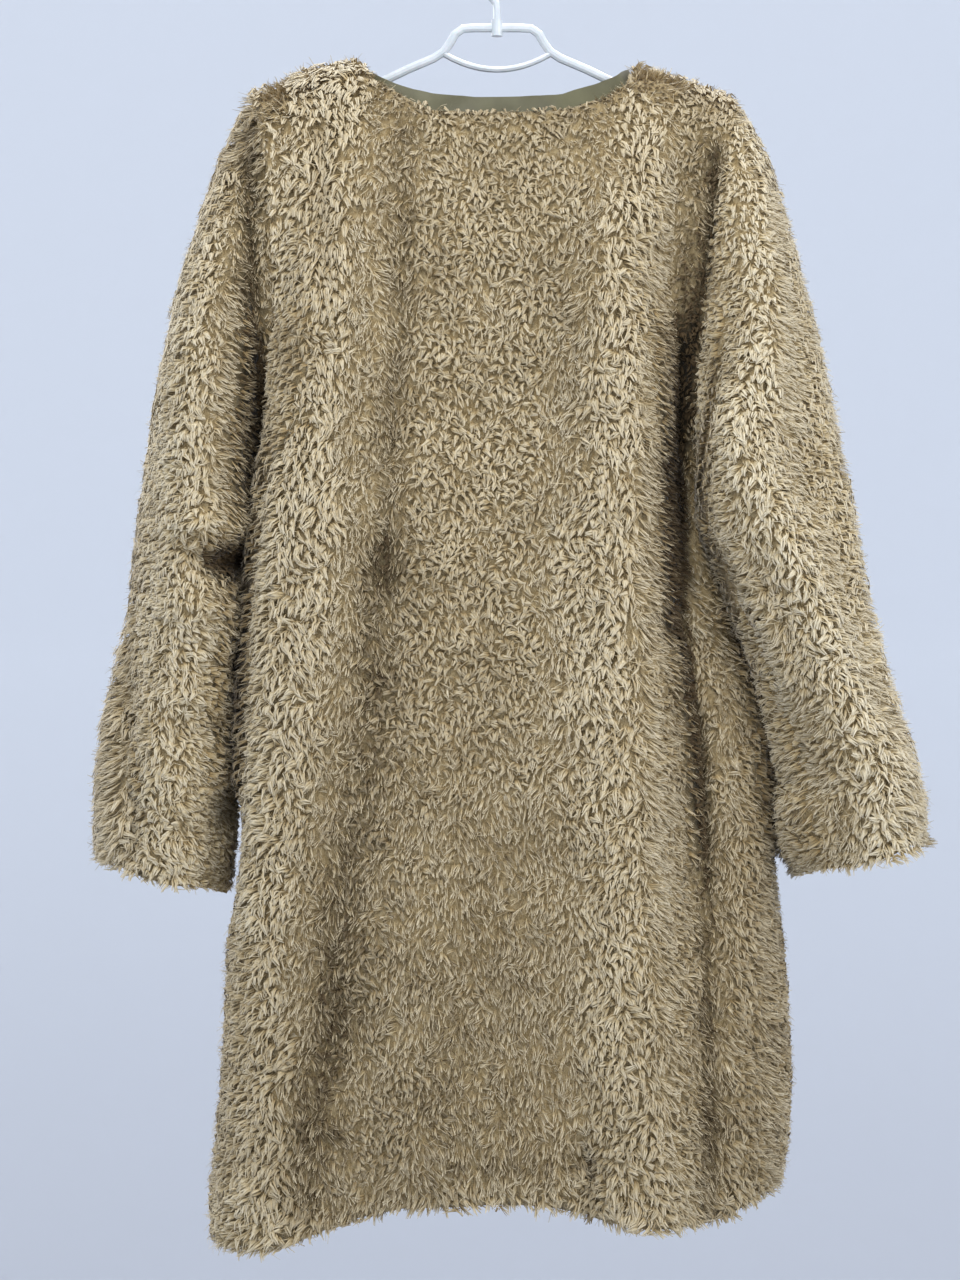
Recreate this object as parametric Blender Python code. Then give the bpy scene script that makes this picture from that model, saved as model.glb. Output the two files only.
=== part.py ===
"""Collarless faux fur coat, knee length, hanging on a plain moulded hanger.

Metres, +Z up. The origin is the bearing point inside the hook's bend. +X is the wearer's left, -Y
is the front. Every cloth piece is a wall: its inside is the lining side of the fabric, its outside
is the reach of the pile. Neighbouring pieces share one seam line and stop SEAM_GAP apart.
"""
import math
from collections import namedtuple
from functools import lru_cache

import bmesh
import bpy
from mathutils import Vector

BACK, FRONT = 1, -1        # the side of Y
LEFT, RIGHT = 1, -1        # the side of X

# ---- cloth -------------------------------------------------------------------------------------
PILE_WALL = 0.020          # backing, lining and standing pile together
PRESSED_WALL = 0.012       # where sleeve and body lie against each other
SHOULDER_WALL = {LEFT: 0.020, RIGHT: 0.013}   # the right shoulder's pile is pressed flatter
SHOULDER_ROWS = 5          # rows over which that wall becomes the usual one
SEAM_GAP = 0.0003
HALF_GAP = SEAM_GAP / 2
FRONT_EDGE_GAP = 0.0008    # between the two front edges, which meet edge to edge
PILE_DROOP = 0.85          # how far the pile leans over a raw hem or cuff
NECK_LIFT = 0.12           # how far it rises along the neck edge
NECK_WALL = 0.013          # its length there
# The pile is pressed from this share of the way to the side, over the next share, and no longer
# below the height where the sleeves end.
PRESSED_FROM, PRESSED_OVER = 0.66, 0.30
PRESSED_LOW_Z, PRESSED_FADE = -0.80, 0.12

# ---- body: base surface, at the lining side of the cloth -----------------------------------------
UNDERARM_Z = -0.400
NECK_HALF = 0.108          # half the width of the neck opening
SHOULDER_HALF = 0.180      # centre to shoulder tip
NECK_POINT_Z = -0.1085     # where the neck edge meets the shoulder seam
BACK_NECK_DROP = 0.0335
BACK_NECK_POWER = 3.2      # higher is flatter along the middle
FRONT_NECK_DROP = 0.105
FRONT_NECK_POWER = 2.5
RIDGE_HEIGHT = 0.075       # below the shoulder seam, the height over which the cloth rounds out
RIDGE_RISE = 0.0208        # how far the line of the shoulders would rise across the neck
COLUMNS = 15               # from centre to side
NECK_COLUMNS = 8           # of those, the ones along the neck
ARMHOLE_ROWS = 11
SKIRT_ROWS = 19
HIP_POWER = 0.36           # below 0.5 the section is boxier than an ellipse
CHEST_POWER = 2.6          # above the underarm: how flat the section is between the armholes
HIP_FROM, HIP_OVER = 0.45, 0.75        # share of the armhole's depth where one becomes the other
HIP_SPREAD_FROM = 0.55                 # the same for the columns, which the hips space evenly
MODEL_HEM_Z = -1.0                     # height whose width spaces the columns along the hem

Level = namedtuple("Level", "z left right back front")
BODY_LEVELS = (
    Level(-0.130, 0.180, 0.180, 0.046, 0.046),
    Level(-0.200, 0.174, 0.171, 0.054, 0.056),
    Level(-0.300, 0.171, 0.160, 0.062, 0.066),
    Level(-0.400, 0.173, 0.152, 0.068, 0.074),
    Level(-0.470, 0.176, 0.157, 0.072, 0.077),
    Level(-0.540, 0.178, 0.175, 0.075, 0.080),
    Level(-0.600, 0.180, 0.194, 0.077, 0.082),
    Level(-0.680, 0.182, 0.202, 0.081, 0.084),
    Level(-0.780, 0.187, 0.206, 0.085, 0.086),
    Level(-0.900, 0.194, 0.212, 0.090, 0.090),
    Level(-0.970, 0.201, 0.208, 0.093, 0.092),
    Level(-1.020, 0.206, 0.196, 0.094, 0.093),
)

ShoulderPoint = namedtuple("ShoulderPoint", "x z")
SHOULDER_SEAM = (
    ShoulderPoint(NECK_HALF, NECK_POINT_Z),
    ShoulderPoint(0.130, -0.1170),
    ShoulderPoint(0.155, -0.1250),
    ShoulderPoint(SHOULDER_HALF, -0.1345),
)

HemPoint = namedtuple("HemPoint", "x z")
HEM_BACK = (
    HemPoint(-0.196, -0.968),
    HemPoint(-0.165, -0.984),
    HemPoint(-0.120, -0.988),
    HemPoint(-0.081, -0.983),
    HemPoint(-0.050, -0.975),
    HemPoint(-0.002, -0.970),
    HemPoint(0.040, -0.972),
    HemPoint(0.085, -0.977),
    HemPoint(0.124, -0.990),
    HemPoint(0.160, -1.008),
    HemPoint(0.206, -1.010),
)
HEM_FRONT = (
    HemPoint(-0.196, -0.968),
    HemPoint(-0.110, -0.992),
    HemPoint(0.000, -0.996),
    HemPoint(0.110, -1.002),
    HemPoint(0.206, -1.010),
)

# A fold is a soft ridge (height above 0) or trough (below 0) that runs down the cloth. It fades in
# over FOLD_START, and out over FOLD_END unless it runs on to the hem.
FOLD_START, FOLD_END = 0.14, 0.12
FOLD_EDGE_FADE = 0.10      # none of it at the top edge, over this distance
FOLD_SIDE_FADE = 0.20      # and none at the side seam, over this share of the half width
Fold = namedtuple("Fold", "x_top x_low z_top z_low half_width height")
BACK_FOLDS = (
    Fold(0.138, 0.172, -0.17, -1.05, 0.042, 0.016),
    Fold(0.076, 0.078, -0.20, -0.72, 0.018, -0.005),
    Fold(0.020, 0.010, -0.22, -0.95, 0.050, -0.009),
    Fold(-0.080, -0.112, -0.17, -1.05, 0.030, 0.017),
    Fold(-0.145, -0.150, -0.15, -0.84, 0.023, -0.019),
    Fold(0.100, 0.098, -0.80, -1.05, 0.024, -0.008),
    Fold(-0.052, -0.062, -0.90, -1.05, 0.016, -0.008),
)
FRONT_FOLDS = (
    Fold(0.120, 0.128, -0.22, -1.05, 0.036, 0.012),
    Fold(0.062, 0.060, -0.30, -1.05, 0.028, -0.008),
    Fold(-0.118, -0.130, -0.22, -1.05, 0.036, 0.012),
    Fold(-0.060, -0.062, -0.34, -1.05, 0.028, -0.008),
)

# ---- armholes and sleeves ------------------------------------------------------------------------
ARMHOLE_DEPTH = 0.046      # half the armhole's width, front to back
ARMHOLE_POWER = 3.2        # how far down it stays wide before it rounds to the underarm
ARMHOLE_SOFT = 1.6         # how softly the body's surface takes up that rounding
WALL_AT_UNDERARM = 0.006
SEAM_EASE = 0.065          # distance over which the pile regains its length beside the armhole
CORNER_FILL = 0.72         # share of the room in a corner that the pile takes
Leave = namedtuple("Leave", "outward down")
LEAVE_TOP, LEAVE_UNDER = Leave(0.42, 0.90), Leave(1.00, 0.05)   # how the sleeve leaves the armhole
LEAVE_SPREAD = 0.25        # and how far to the front or back, halfway down
CAP_RINGS = 8
TUBE_RINGS = 11

# Rings down the tube: where each is centred, its half widths, how far it is turned about Z and
# how far its plane leans, so that it is higher on the outer side. Angles are in degrees.
SleeveRing = namedtuple("SleeveRing", "z x y half_wide half_deep turn lean")
SLEEVE_LEFT = (
    SleeveRing(-0.462, 0.2325, 0.000, 0.0295, 0.062, 0.0, 8.0),
    SleeveRing(-0.560, 0.2420, -0.006, 0.0335, 0.064, 3.0, 9.0),
    SleeveRing(-0.650, 0.2540, -0.010, 0.0400, 0.062, 3.0, 12.0),
    SleeveRing(-0.7290, 0.2590, -0.012, 0.0420, 0.058, 0.0, 20.0),
)
SLEEVE_RIGHT = (
    SleeveRing(-0.462, -0.2200, 0.026, 0.0370, 0.060, -28.0, 8.0),
    SleeveRing(-0.560, -0.2485, 0.022, 0.0310, 0.062, -15.0, 9.0),
    SleeveRing(-0.620, -0.2640, 0.016, 0.0335, 0.062, -6.0, 11.0),
    SleeveRing(-0.680, -0.2750, 0.012, 0.0410, 0.060, -2.0, 14.0),
    SleeveRing(-0.7120, -0.2790, 0.010, 0.0430, 0.058, 0.0, 23.0),
)

# Dents in a sleeve: the angle round it and the share of its length at which each lies.
Dent = namedtuple("Dent", "angle half_angle at half_length height")
DENTS_LEFT = (
    Dent(46.0, 20.0, 0.60, 0.30, -0.007),
    Dent(150.0, 40.0, 0.50, 0.05, -0.010),
    Dent(128.0, 24.0, 0.72, 0.14, -0.004),
    Dent(-50.0, 26.0, 0.62, 0.26, -0.005),
)
DENTS_RIGHT = (
    Dent(38.0, 20.0, 0.46, 0.30, -0.007),
    Dent(112.0, 24.0, 0.76, 0.18, -0.004),
    Dent(-50.0, 26.0, 0.62, 0.26, -0.005),
)

# ---- neck facing ---------------------------------------------------------------------------------
FACING_THICK = 0.0012
FACING_GAP = 0.0006        # between the facing and the lining side of the fur
FACING_STAND = 0.0135      # what stands above the neck edge at its middle
FACING_STAND_SIDE = 0.0090
FACING_ROWS = 2            # rows of the panel that it lines
FACING_LEAN = 0.25         # how far the standing edge leans into the neck opening
FACING_TURN = 0.55         # the same at the neck points, where it crosses the shoulder seam

# ---- hanger --------------------------------------------------------------------------------------
ARM_HEIGHT, ARM_DEPTH = 0.0070, 0.0050
BRACE_RADIUS = 0.0024
STEM_RADIUS = 0.0030
HOOK_BEND = 0.0190         # inside radius of the hook's bend
ARCH_Z = -0.068            # middle of the arch's top bar
BOSS_RADIUS, BOSS_LOW, BOSS_RISE = 0.0044, -0.0745, 0.0065
HOOK_START, HOOK_END, HOOK_STEPS = -38.0, 197.0, 15   # degrees round the bend, 90 is the top
HOOK_LEAVE_Z, HOOK_REACH = -0.0530, 0.0090            # where the stem starts to bend
ArmPoint = namedtuple("ArmPoint", "x z")
ARM_LINE = (
    ArmPoint(0.0000, ARCH_Z),
    ArmPoint(0.0180, ARCH_Z),
    ArmPoint(0.0270, -0.0686),
    ArmPoint(0.0330, -0.0728),
    ArmPoint(0.0370, -0.0800),
    ArmPoint(0.0420, -0.0868),
    ArmPoint(0.0500, -0.0920),
    ArmPoint(0.0700, -0.1005),
    ArmPoint(0.0900, -0.1101),
    ArmPoint(NECK_HALF, -0.1163),
    ArmPoint(0.1300, -0.1211),
    ArmPoint(0.1550, -0.1292),
    ArmPoint(0.1700, -0.1346),
)
BRACE_ENDS = ArmPoint(0.0385, -0.0888)
BRACE_LOW_Z = -0.1010
BRACE_SINK, BRACE_STEPS = 1.08, 12     # its ends run on into the arms

FUR = ("fur", (0.56, 0.46, 0.31, 1), 0.95)
SATIN = ("satin", (0.25, 0.22, 0.13, 1), 0.45)
PLASTIC = ("plastic", (0.86, 0.88, 0.90, 1), 0.35)


def ease(t):
    """0 to 1 with a soft start and end."""
    t = min(1.0, max(0.0, t))
    return t * t * (3 - 2 * t)


def between(a, b, t):
    return a + (b - a) * t


def read_table(table, key, column, at):
    """The named column at a value of the key column, on a smooth curve through the rows."""
    rows = sorted(table, key=lambda row: getattr(row, key))
    xs = [getattr(row, key) for row in rows]
    ys = [getattr(row, column) for row in rows]
    if at <= xs[0]:
        return ys[0]
    if at >= xs[-1]:
        return ys[-1]
    i = max(k for k in range(len(xs) - 1) if xs[k] <= at)

    def slope(k):
        low, high = max(0, k - 1), min(len(xs) - 1, k + 1)
        return (ys[high] - ys[low]) / (xs[high] - xs[low])

    span = xs[i + 1] - xs[i]
    t = (at - xs[i]) / span
    return (
        (2 * t**3 - 3 * t**2 + 1) * ys[i]
        + (t**3 - 2 * t**2 + t) * span * slope(i)
        + (3 * t**2 - 2 * t**3) * ys[i + 1]
        + (t**3 - t**2) * span * slope(i + 1)
    )


def even_angles(count):
    """Angles from centre (0) to side (90 degrees) that space points evenly along a body section."""
    middle = BODY_LEVELS[len(BODY_LEVELS) // 2]
    steps = 400
    points = [section_point(math.pi / 2 * i / steps) for i in range(steps + 1)]
    lengths = [0.0]
    for (x0, y0), (x1, y1) in zip(points, points[1:]):
        lengths.append(lengths[-1] + math.hypot((x1 - x0) * middle.left, (y1 - y0) * middle.back))
    angles, at = [], 0
    for k in range(count + 1):
        while at < steps and lengths[at] < lengths[-1] * k / count:
            at += 1
        angles.append(math.pi / 2 * at / steps)
    return angles


def section_point(angle):
    """Across and out, each 0 to 1, of a body section at an angle from its centre."""
    return math.sin(angle), max(0.0, math.cos(angle)) ** (2 * HIP_POWER)


ANGLES = even_angles(COLUMNS)


def neck_z(x, face):
    """Height of the neck edge at a distance from the centre."""
    share = min(1.0, abs(x) / NECK_HALF)
    if face == BACK:
        return NECK_POINT_Z - BACK_NECK_DROP * (1 - share**BACK_NECK_POWER)
    return NECK_POINT_Z - FRONT_NECK_DROP * (1 - share**FRONT_NECK_POWER)


def top_edge(column):
    """x of a column at the top edge, and whether it lies on the neck; closer near the neck point."""
    if column <= NECK_COLUMNS:
        share = column / NECK_COLUMNS
        return NECK_HALF * between(share, math.sin(math.pi / 2 * share), 0.5), True
    share = (column - NECK_COLUMNS) / (COLUMNS - NECK_COLUMNS)
    return between(NECK_HALF, SHOULDER_HALF, share), False


def row_drop(row):
    """How far down from the top edge (0) to the underarm (1) an armhole row lies.

    Rows lie closer at both ends, where the armhole turns.
    """
    share = row / ARMHOLE_ROWS
    return between(share, (1 - math.cos(math.pi * share)) / 2, 0.8)


def fold_height(folds, x, z):
    """Sum of the folds at a place on one face of the body."""
    total = 0.0
    for fold in folds:
        down = (fold.z_top - z) / (fold.z_top - fold.z_low)
        at = between(fold.x_top, fold.x_low, min(1.0, max(0.0, down)))
        end = 1.0 if fold.z_low < MODEL_HEM_Z else ease((z - fold.z_low) / FOLD_END)
        fade = ease((fold.z_top - z) / FOLD_START + 0.25) * end
        total += fold.height * fade * math.exp(-(((x - at) / fold.half_width) ** 2))
    return total


def ridge_z(x):
    """Height of the line of the shoulders, which runs on as a shallow arch over the neck."""
    if x >= NECK_HALF:
        return read_table(SHOULDER_SEAM, "x", "z", x)
    return NECK_POINT_Z + RIDGE_RISE * (1 - (x / NECK_HALF) ** 2)


def body_depth(side, face, x, z):
    """How far one face lies from the plane of the seams, not yet rounded over the shoulder."""
    width = "left" if side == LEFT else "right"
    depth = read_table(BODY_LEVELS, "z", "back" if face == BACK else "front", z)
    drop = max(0.0, (ridge_z(x) - z) / (ridge_z(x) - UNDERARM_Z))
    hip = ease((drop - HIP_FROM) / HIP_OVER)
    level = between(SHOULDER_SEAM[-1].z, UNDERARM_Z, drop) if z > UNDERARM_Z else z
    share = min(1.0, x / read_table(BODY_LEVELS, "z", width, level))
    out = (1 - share ** between(CHEST_POWER, 2.0, hip)) ** between(1.0, HIP_POWER, hip)
    open_share = 1 - drop**ARMHOLE_POWER
    soft = ARMHOLE_SOFT * (1 - share)
    edge = ARMHOLE_DEPTH * math.sqrt((open_share + math.hypot(open_share, soft)) / 2)
    return between(edge, depth, out)


def shoulder_rounding(x, z):
    """0 on the line of the shoulders to 1 where the cloth hangs free."""
    return min(1.0, max(0.0, (ridge_z(x) - z) / RIDGE_HEIGHT))


def surface_out(side, face, point):
    """Direction out of the base surface at a point, from the surface's equation."""
    def level(x, y, z):
        depth = max(1e-4, body_depth(side, face, abs(x), z))
        return (y / depth) ** 2 + (1 - shoulder_rounding(abs(x), z)) ** 2

    x, y, z = point
    step = 0.0004
    return Vector((
        level(x + step, y, z) - level(x - step, y, z),
        level(x, y + step, z) - level(x, y - step, z),
        level(x, y, z + step) - level(x, y, z - step),
    )).normalized()


def body_base(column, row, side, face):
    """Point of the base surface: column 0 is the centre, row 0 the top edge."""
    even, across = column / COLUMNS, math.sin(ANGLES[column])
    x_top, neck = top_edge(column)
    z_top = neck_z(x_top, face) if neck else ridge_z(x_top)
    width = "left" if side == LEFT else "right"
    if row <= ARMHOLE_ROWS:
        drop = row_drop(row)
        z = between(z_top, UNDERARM_Z, drop)
        wide = read_table(BODY_LEVELS, "z", width, between(SHOULDER_SEAM[-1].z, UNDERARM_Z, drop))
        hip = ease((drop - HIP_SPREAD_FROM) / (1 - HIP_SPREAD_FROM))
        x = between(x_top, wide * between(even, across, 0.5 * hip), ease(drop * 2))
    else:
        share = (row - ARMHOLE_ROWS) / SKIRT_ROWS
        hem = HEM_BACK if face == BACK else HEM_FRONT
        x_hem = read_table(BODY_LEVELS, "z", width, MODEL_HEM_Z) * across
        z = between(UNDERARM_Z, read_table(hem, "x", "z", side * x_hem), share)
        wide = read_table(BODY_LEVELS, "z", width, z)
        x = wide * between(even, across, between(0.5, 1.0, ease(share * 4)))
    rounding = math.sqrt(1 - (1 - shoulder_rounding(x, z)) ** 2)
    y = body_depth(side, face, x, z) * rounding
    return Vector((side * x, face * (0.0 if column == COLUMNS and row > ARMHOLE_ROWS else y), z))


def armhole_faces():
    """Face and row of each point round an armhole: down the back, then up the front."""
    rows = list(range(ARMHOLE_ROWS + 1))
    return [(BACK, row) for row in rows] + [(FRONT, row) for row in rows[-2:0:-1]]


def armhole_points(side):
    return [body_base(COLUMNS, row, side, face) for face, row in armhole_faces()]


def sleeve_leave(side, angle):
    """Direction in which the sleeve leaves the armhole at an angle round it, 0 at the top."""
    under = (1 - math.cos(angle)) / 2
    outward = between(LEAVE_TOP.outward, LEAVE_UNDER.outward, under)
    down = between(LEAVE_TOP.down, LEAVE_UNDER.down, under)
    return Vector((side * outward, LEAVE_SPREAD * math.sin(angle), -down)).normalized()


SeamPoint = namedtuple("SeamPoint", "point out inward wall corner")


@lru_cache(maxsize=None)
def armhole(side):
    """The armhole seam: its points, the pile's direction and length there, and how sharp it is.

    The pile halves the angle between body and sleeve. A corner of 0 is flat, 1 a right angle.
    """
    points, faces = armhole_points(side), armhole_faces()
    count = len(points)
    seam = []
    for k, (point, (face, row)) in enumerate(zip(points, faces)):
        along = points[(k + 1) % count] - points[k - 1]
        inward = body_base(COLUMNS - 1, row, side, face) - point
        body = (along.cross(inward) * side).normalized()
        leave = sleeve_leave(side, 2 * math.pi * k / count)
        sleeve = (along.cross(leave) * -side).normalized()
        if row == ARMHOLE_ROWS:
            inward, body = Vector((0, 0, -1)), Vector((side, 0, 0))
        out = (body + sleeve).normalized()
        apart = along.cross(out)
        apart = apart if apart.dot(inward) > 0 else -apart
        if row in (0, ARMHOLE_ROWS):
            out.y = apart.y = 0
        corner = math.tan(body.angle(sleeve) / 2) if sleeve.dot(inward) > 0 else 0.0
        low_share = (SHOULDER_SEAM[-1].z - point.z) / (SHOULDER_SEAM[-1].z - UNDERARM_Z)
        wall = between(SHOULDER_WALL[side], WALL_AT_UNDERARM, ease(low_share))
        seam.append(SeamPoint(point, out.normalized(), apart.normalized(), wall, corner))
    return seam


def seam_wall(point, side, usual):
    """Wall thickness near the armhole seam, where the pile is pressed into the valley."""
    nearest = min(armhole(side), key=lambda seam: (point - seam.point).length)
    away = (point - nearest.point).length
    wall = between(nearest.wall, usual, ease(away / SEAM_EASE))
    if nearest.corner and away > HALF_GAP:
        wall = min(wall, CORNER_FILL * away / nearest.corner)
    return wall


def normal_of(grid, i, j, around=False):
    """Unit normal of a grid of points, from the neighbours of row i, column j."""
    rows, columns = len(grid), len(grid[0])
    up, down = grid[max(0, i - 1)][j], grid[min(rows - 1, i + 1)][j]
    if around:
        before, after = grid[i][(j - 1) % columns], grid[i][(j + 1) % columns]
    else:
        before, after = grid[i][max(0, j - 1)], grid[i][min(columns - 1, j + 1)]
    return (after - before).cross(down - up).normalized()


def shoulder_out(side, x):
    """Direction of the pile on the shoulder seam, which back and front share."""
    low = max(NECK_HALF, abs(x) - 0.01)
    high = min(SHOULDER_HALF, abs(x) + 0.01)
    fall = read_table(SHOULDER_SEAM, "x", "z", high) - read_table(SHOULDER_SEAM, "x", "z", low)
    return Vector((side * -fall, 0, high - low)).normalized()


def seam_shift(side, face, row, column, open_front):
    """How far a panel's edge is drawn back from its seam line: half the gap at each seam."""
    shift = Vector((0, 0, 0))
    if column == COLUMNS and row <= ARMHOLE_ROWS:
        shift += armhole(side)[face * row].inward * HALF_GAP
    if (column == COLUMNS and row >= ARMHOLE_ROWS) or (row == 0 and column >= NECK_COLUMNS):
        shift += Vector((0, face * HALF_GAP, 0))
    if column == 0 and open_front:
        shift += Vector((side * FRONT_EDGE_GAP / 2, 0, 0))
    return shift


def body_panel(face, halves):
    """Inside points, outside points and surface directions of a panel of one face.

    The panel covers the given halves. Each list holds rows that run from left (+X) to right.
    """
    places = []
    if LEFT in halves:
        places += [(LEFT, column) for column in range(COLUMNS, 0, -1)] + [(LEFT, 0)]
    if RIGHT in halves:
        places += [(RIGHT, column) for column in range(1 if LEFT in halves else 0, COLUMNS + 1)]
    rows = ARMHOLE_ROWS + SKIRT_ROWS + 1
    base = [[body_base(column, row, side, face) for side, column in places] for row in range(rows)]
    folds = BACK_FOLDS if face == BACK else FRONT_FOLDS
    inside, outside, surface = [], [], []
    for i in range(rows):
        inner_row, outer_row, surface_row = [], [], []
        for j, (side, column) in enumerate(places):
            point = base[i][j]
            normal = surface_out(side, face, point)
            if column == 0:
                normal = Vector((0, normal.y, normal.z)).normalized()
            if column == COLUMNS and i <= ARMHOLE_ROWS:
                normal = armhole(side)[face * i].out
            elif column == COLUMNS:
                normal = Vector((side, 0, 0))
            elif i == 0 and column >= NECK_COLUMNS:
                normal = shoulder_out(side, point.x)
            out = normal
            if i == 0 and column < NECK_COLUMNS:
                out = (normal + Vector((0, 0, NECK_LIFT))).normalized()
            if i == rows - 1:
                out = (normal + Vector((0, 0, -PILE_DROOP))).normalized()
            pressed = ease((column / COLUMNS - PRESSED_FROM) / PRESSED_OVER)
            pressed *= ease((point.z - PRESSED_LOW_Z) / PRESSED_FADE)
            wall = between(PILE_WALL, PRESSED_WALL, pressed if i >= SHOULDER_ROWS else 0.0)
            if i < SHOULDER_ROWS:
                shoulder = ease((column - NECK_COLUMNS + 1) / 4)
                at_top = between(NECK_WALL, SHOULDER_WALL[side], shoulder)
                wall = between(at_top, wall, i / SHOULDER_ROWS)
            wall = seam_wall(point, side, wall)
            fold = fold_height(folds, point.x, point.z)
            fold *= ease((COLUMNS - column) / (FOLD_SIDE_FADE * COLUMNS))
            fold *= ease((base[0][j].z - point.z) / FOLD_EDGE_FADE)
            inner = point + normal * fold + seam_shift(side, face, i, column, len(halves) == 1)
            inner_row.append(inner)
            outer_row.append(inner + out * wall)
            surface_row.append(normal)
        inside.append(inner_row)
        outside.append(outer_row)
        surface.append(surface_row)
    return inside, outside, surface


def sleeve_table(side):
    return SLEEVE_LEFT if side == LEFT else SLEEVE_RIGHT


def tube_point(side, angle, z):
    """Point of the sleeve's base surface below the cap, at an angle round it."""
    table = sleeve_table(side)
    lean = math.radians(read_table(table, "z", "lean", z))
    outward = Vector((side * math.cos(lean), 0, math.sin(lean)))
    wide = read_table(table, "z", "half_wide", z) * math.cos(angle)
    deep = read_table(table, "z", "half_deep", z) * math.sin(angle)
    turn = math.radians(read_table(table, "z", "turn", z)) * side
    centre = Vector((read_table(table, "z", "x", z), read_table(table, "z", "y", z), z))
    across = wide * math.cos(turn) - deep * math.sin(turn)
    return centre + outward * across + Vector((0, wide * math.sin(turn) + deep * math.cos(turn), 0))


def cap_point(side, angle, start, share):
    """Point of the sleeve's cap, on a curve from its armhole point (share 0) to the tube (1)."""
    top_z = sleeve_table(side)[0].z
    end = tube_point(side, angle, top_z)
    arrive = (tube_point(side, angle, top_z - 0.02) - end).normalized()
    reach = (end - start).length
    return (
        start * (2 * share**3 - 3 * share**2 + 1)
        + sleeve_leave(side, angle) * reach * (share**3 - 2 * share**2 + share)
        + end * (3 * share**2 - 2 * share**3)
        + arrive * reach * (share**3 - share**2)
    )


def sleeve_panel(side):
    """Inside and outside points of a sleeve, ring by ring from the armhole to the cuff.

    A ring starts at the outer side and goes over the back, the inner side and the front.
    """
    seam = armhole(side)
    around = len(seam)
    angles = [2 * math.pi * k / around for k in range(around)]
    rings = []
    for i in range(CAP_RINGS):
        rings.append([cap_point(side, a, s.point, i / CAP_RINGS) for a, s in zip(angles, seam)])
    table = sleeve_table(side)
    for i in range(TUBE_RINGS + 1):
        z = between(table[0].z, table[-1].z, i / TUBE_RINGS)
        rings.append([tube_point(side, a, z) for a in angles])

    inside, outside = [], []
    last = len(rings) - 1
    for i, ring in enumerate(rings):
        inner_row, outer_row = [], []
        for k, point in enumerate(ring):
            out = seam[k].out if i == 0 else normal_of(rings, i, k, around=True) * -side
            inner = point + out * dent_depth(side, math.degrees(angles[k]), i / last)
            if i == 0:
                inner -= seam[k].inward * HALF_GAP
            inner_side = ease((-math.cos(angles[k]) - 0.1) / 0.6)
            wall = seam_wall(point, side, between(PILE_WALL, PRESSED_WALL, inner_side))
            if i == 0:
                wall = seam[k].wall
            if i == last:
                out = (out + Vector((0, 0, -PILE_DROOP))).normalized()
            inner_row.append(inner)
            outer_row.append(inner + out * wall)
        inside.append(inner_row)
        outside.append(outer_row)
    return inside, outside


def dent_depth(side, angle, share):
    """Sum of the dents at a place on a sleeve."""
    depth = 0.0
    for dent in DENTS_LEFT if side == LEFT else DENTS_RIGHT:
        away = (angle - dent.angle + 180) % 360 - 180
        along = (share - dent.at) / dent.half_length
        depth += dent.height * math.exp(-((away / dent.half_angle) ** 2) - along**2)
    return depth * ease(share / 0.1)


def material(finish):
    name, colour, roughness = finish
    made = bpy.data.materials.get(name) or bpy.data.materials.new(name)
    made.use_nodes = True
    shader = made.node_tree.nodes["Principled BSDF"]
    shader.inputs["Base Color"].default_value = colour
    shader.inputs["Roughness"].default_value = roughness
    shader.inputs["Metallic"].default_value = 0.0
    return made


def finish_object(name, bm, finish, flat_over=40.0):
    """Makes an object of a bmesh, with its faces pointing out, and shades it smooth."""
    bmesh.ops.recalc_face_normals(bm, faces=bm.faces)
    mesh = bpy.data.meshes.new(name)
    bm.to_mesh(mesh)
    bm.free()
    mesh.materials.append(material(finish))
    mesh.shade_smooth()
    mesh.set_sharp_from_angle(angle=math.radians(flat_over))
    made = bpy.data.objects.new(name, mesh)
    bpy.context.scene.collection.objects.link(made)
    return made


def mirrored(first, second):
    """Whether a quad of cloth lies on the wearer's left, where its diagonal runs the other way."""
    return first.x + second.x > 0


def cloth_wall(name, inside, outside, finish, around=False):
    """A closed wall between two grids of points.

    Two pieces that meet have the same rim points, so their rims are cut into triangles by one
    rule: the diagonal starts at the higher of the two inside points. The cloth's own diagonals
    mirror each other about the middle of the coat.
    """
    bm = bmesh.new()
    inner = [[bm.verts.new(p) for p in row] for row in inside]
    outer = [[bm.verts.new(p) for p in row] for row in outside]
    rows, columns = len(inner), len(inner[0])
    last = columns if around else columns - 1
    for i in range(rows - 1):
        for j in range(last):
            k = (j + 1) % columns
            for grid in (inner, outer):
                a, b, c, d = grid[i][j], grid[i + 1][j], grid[i + 1][k], grid[i][k]
                if mirrored(inside[i][j], inside[i][k]):
                    a, b, c, d = b, c, d, a
                bm.faces.new((a, b, c))
                bm.faces.new((a, c, d))

    def rim(line_in, line_out, closed=False):
        pairs = list(zip(line_in, line_out))
        for (a, b), (c, d) in zip(pairs, pairs[1:] + pairs[:1] if closed else pairs[1:]):
            if a.co.z >= c.co.z:
                bm.faces.new((a, c, d))
                bm.faces.new((a, d, b))
            else:
                bm.faces.new((c, b, a))
                bm.faces.new((c, d, b))

    rim(inner[0], outer[0], around)
    rim(inner[-1], outer[-1], around)
    if not around:
        rim([row[0] for row in inner], [row[0] for row in outer])
        rim([row[-1] for row in inner], [row[-1] for row in outer])
    return finish_object(name, bm, finish)


def make_body():
    for name, face, halves in (
        ("back", BACK, (LEFT, RIGHT)),
        ("front_left", FRONT, (LEFT,)),
        ("front_right", FRONT, (RIGHT,)),
    ):
        inside, outside, _ = body_panel(face, halves)
        cloth_wall(name, inside, outside, FUR)


def make_sleeves():
    for name, side in (("sleeve_left", LEFT), ("sleeve_right", RIGHT)):
        inside, outside = sleeve_panel(side)
        cloth_wall(name, inside, outside, FUR, around=True)


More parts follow.
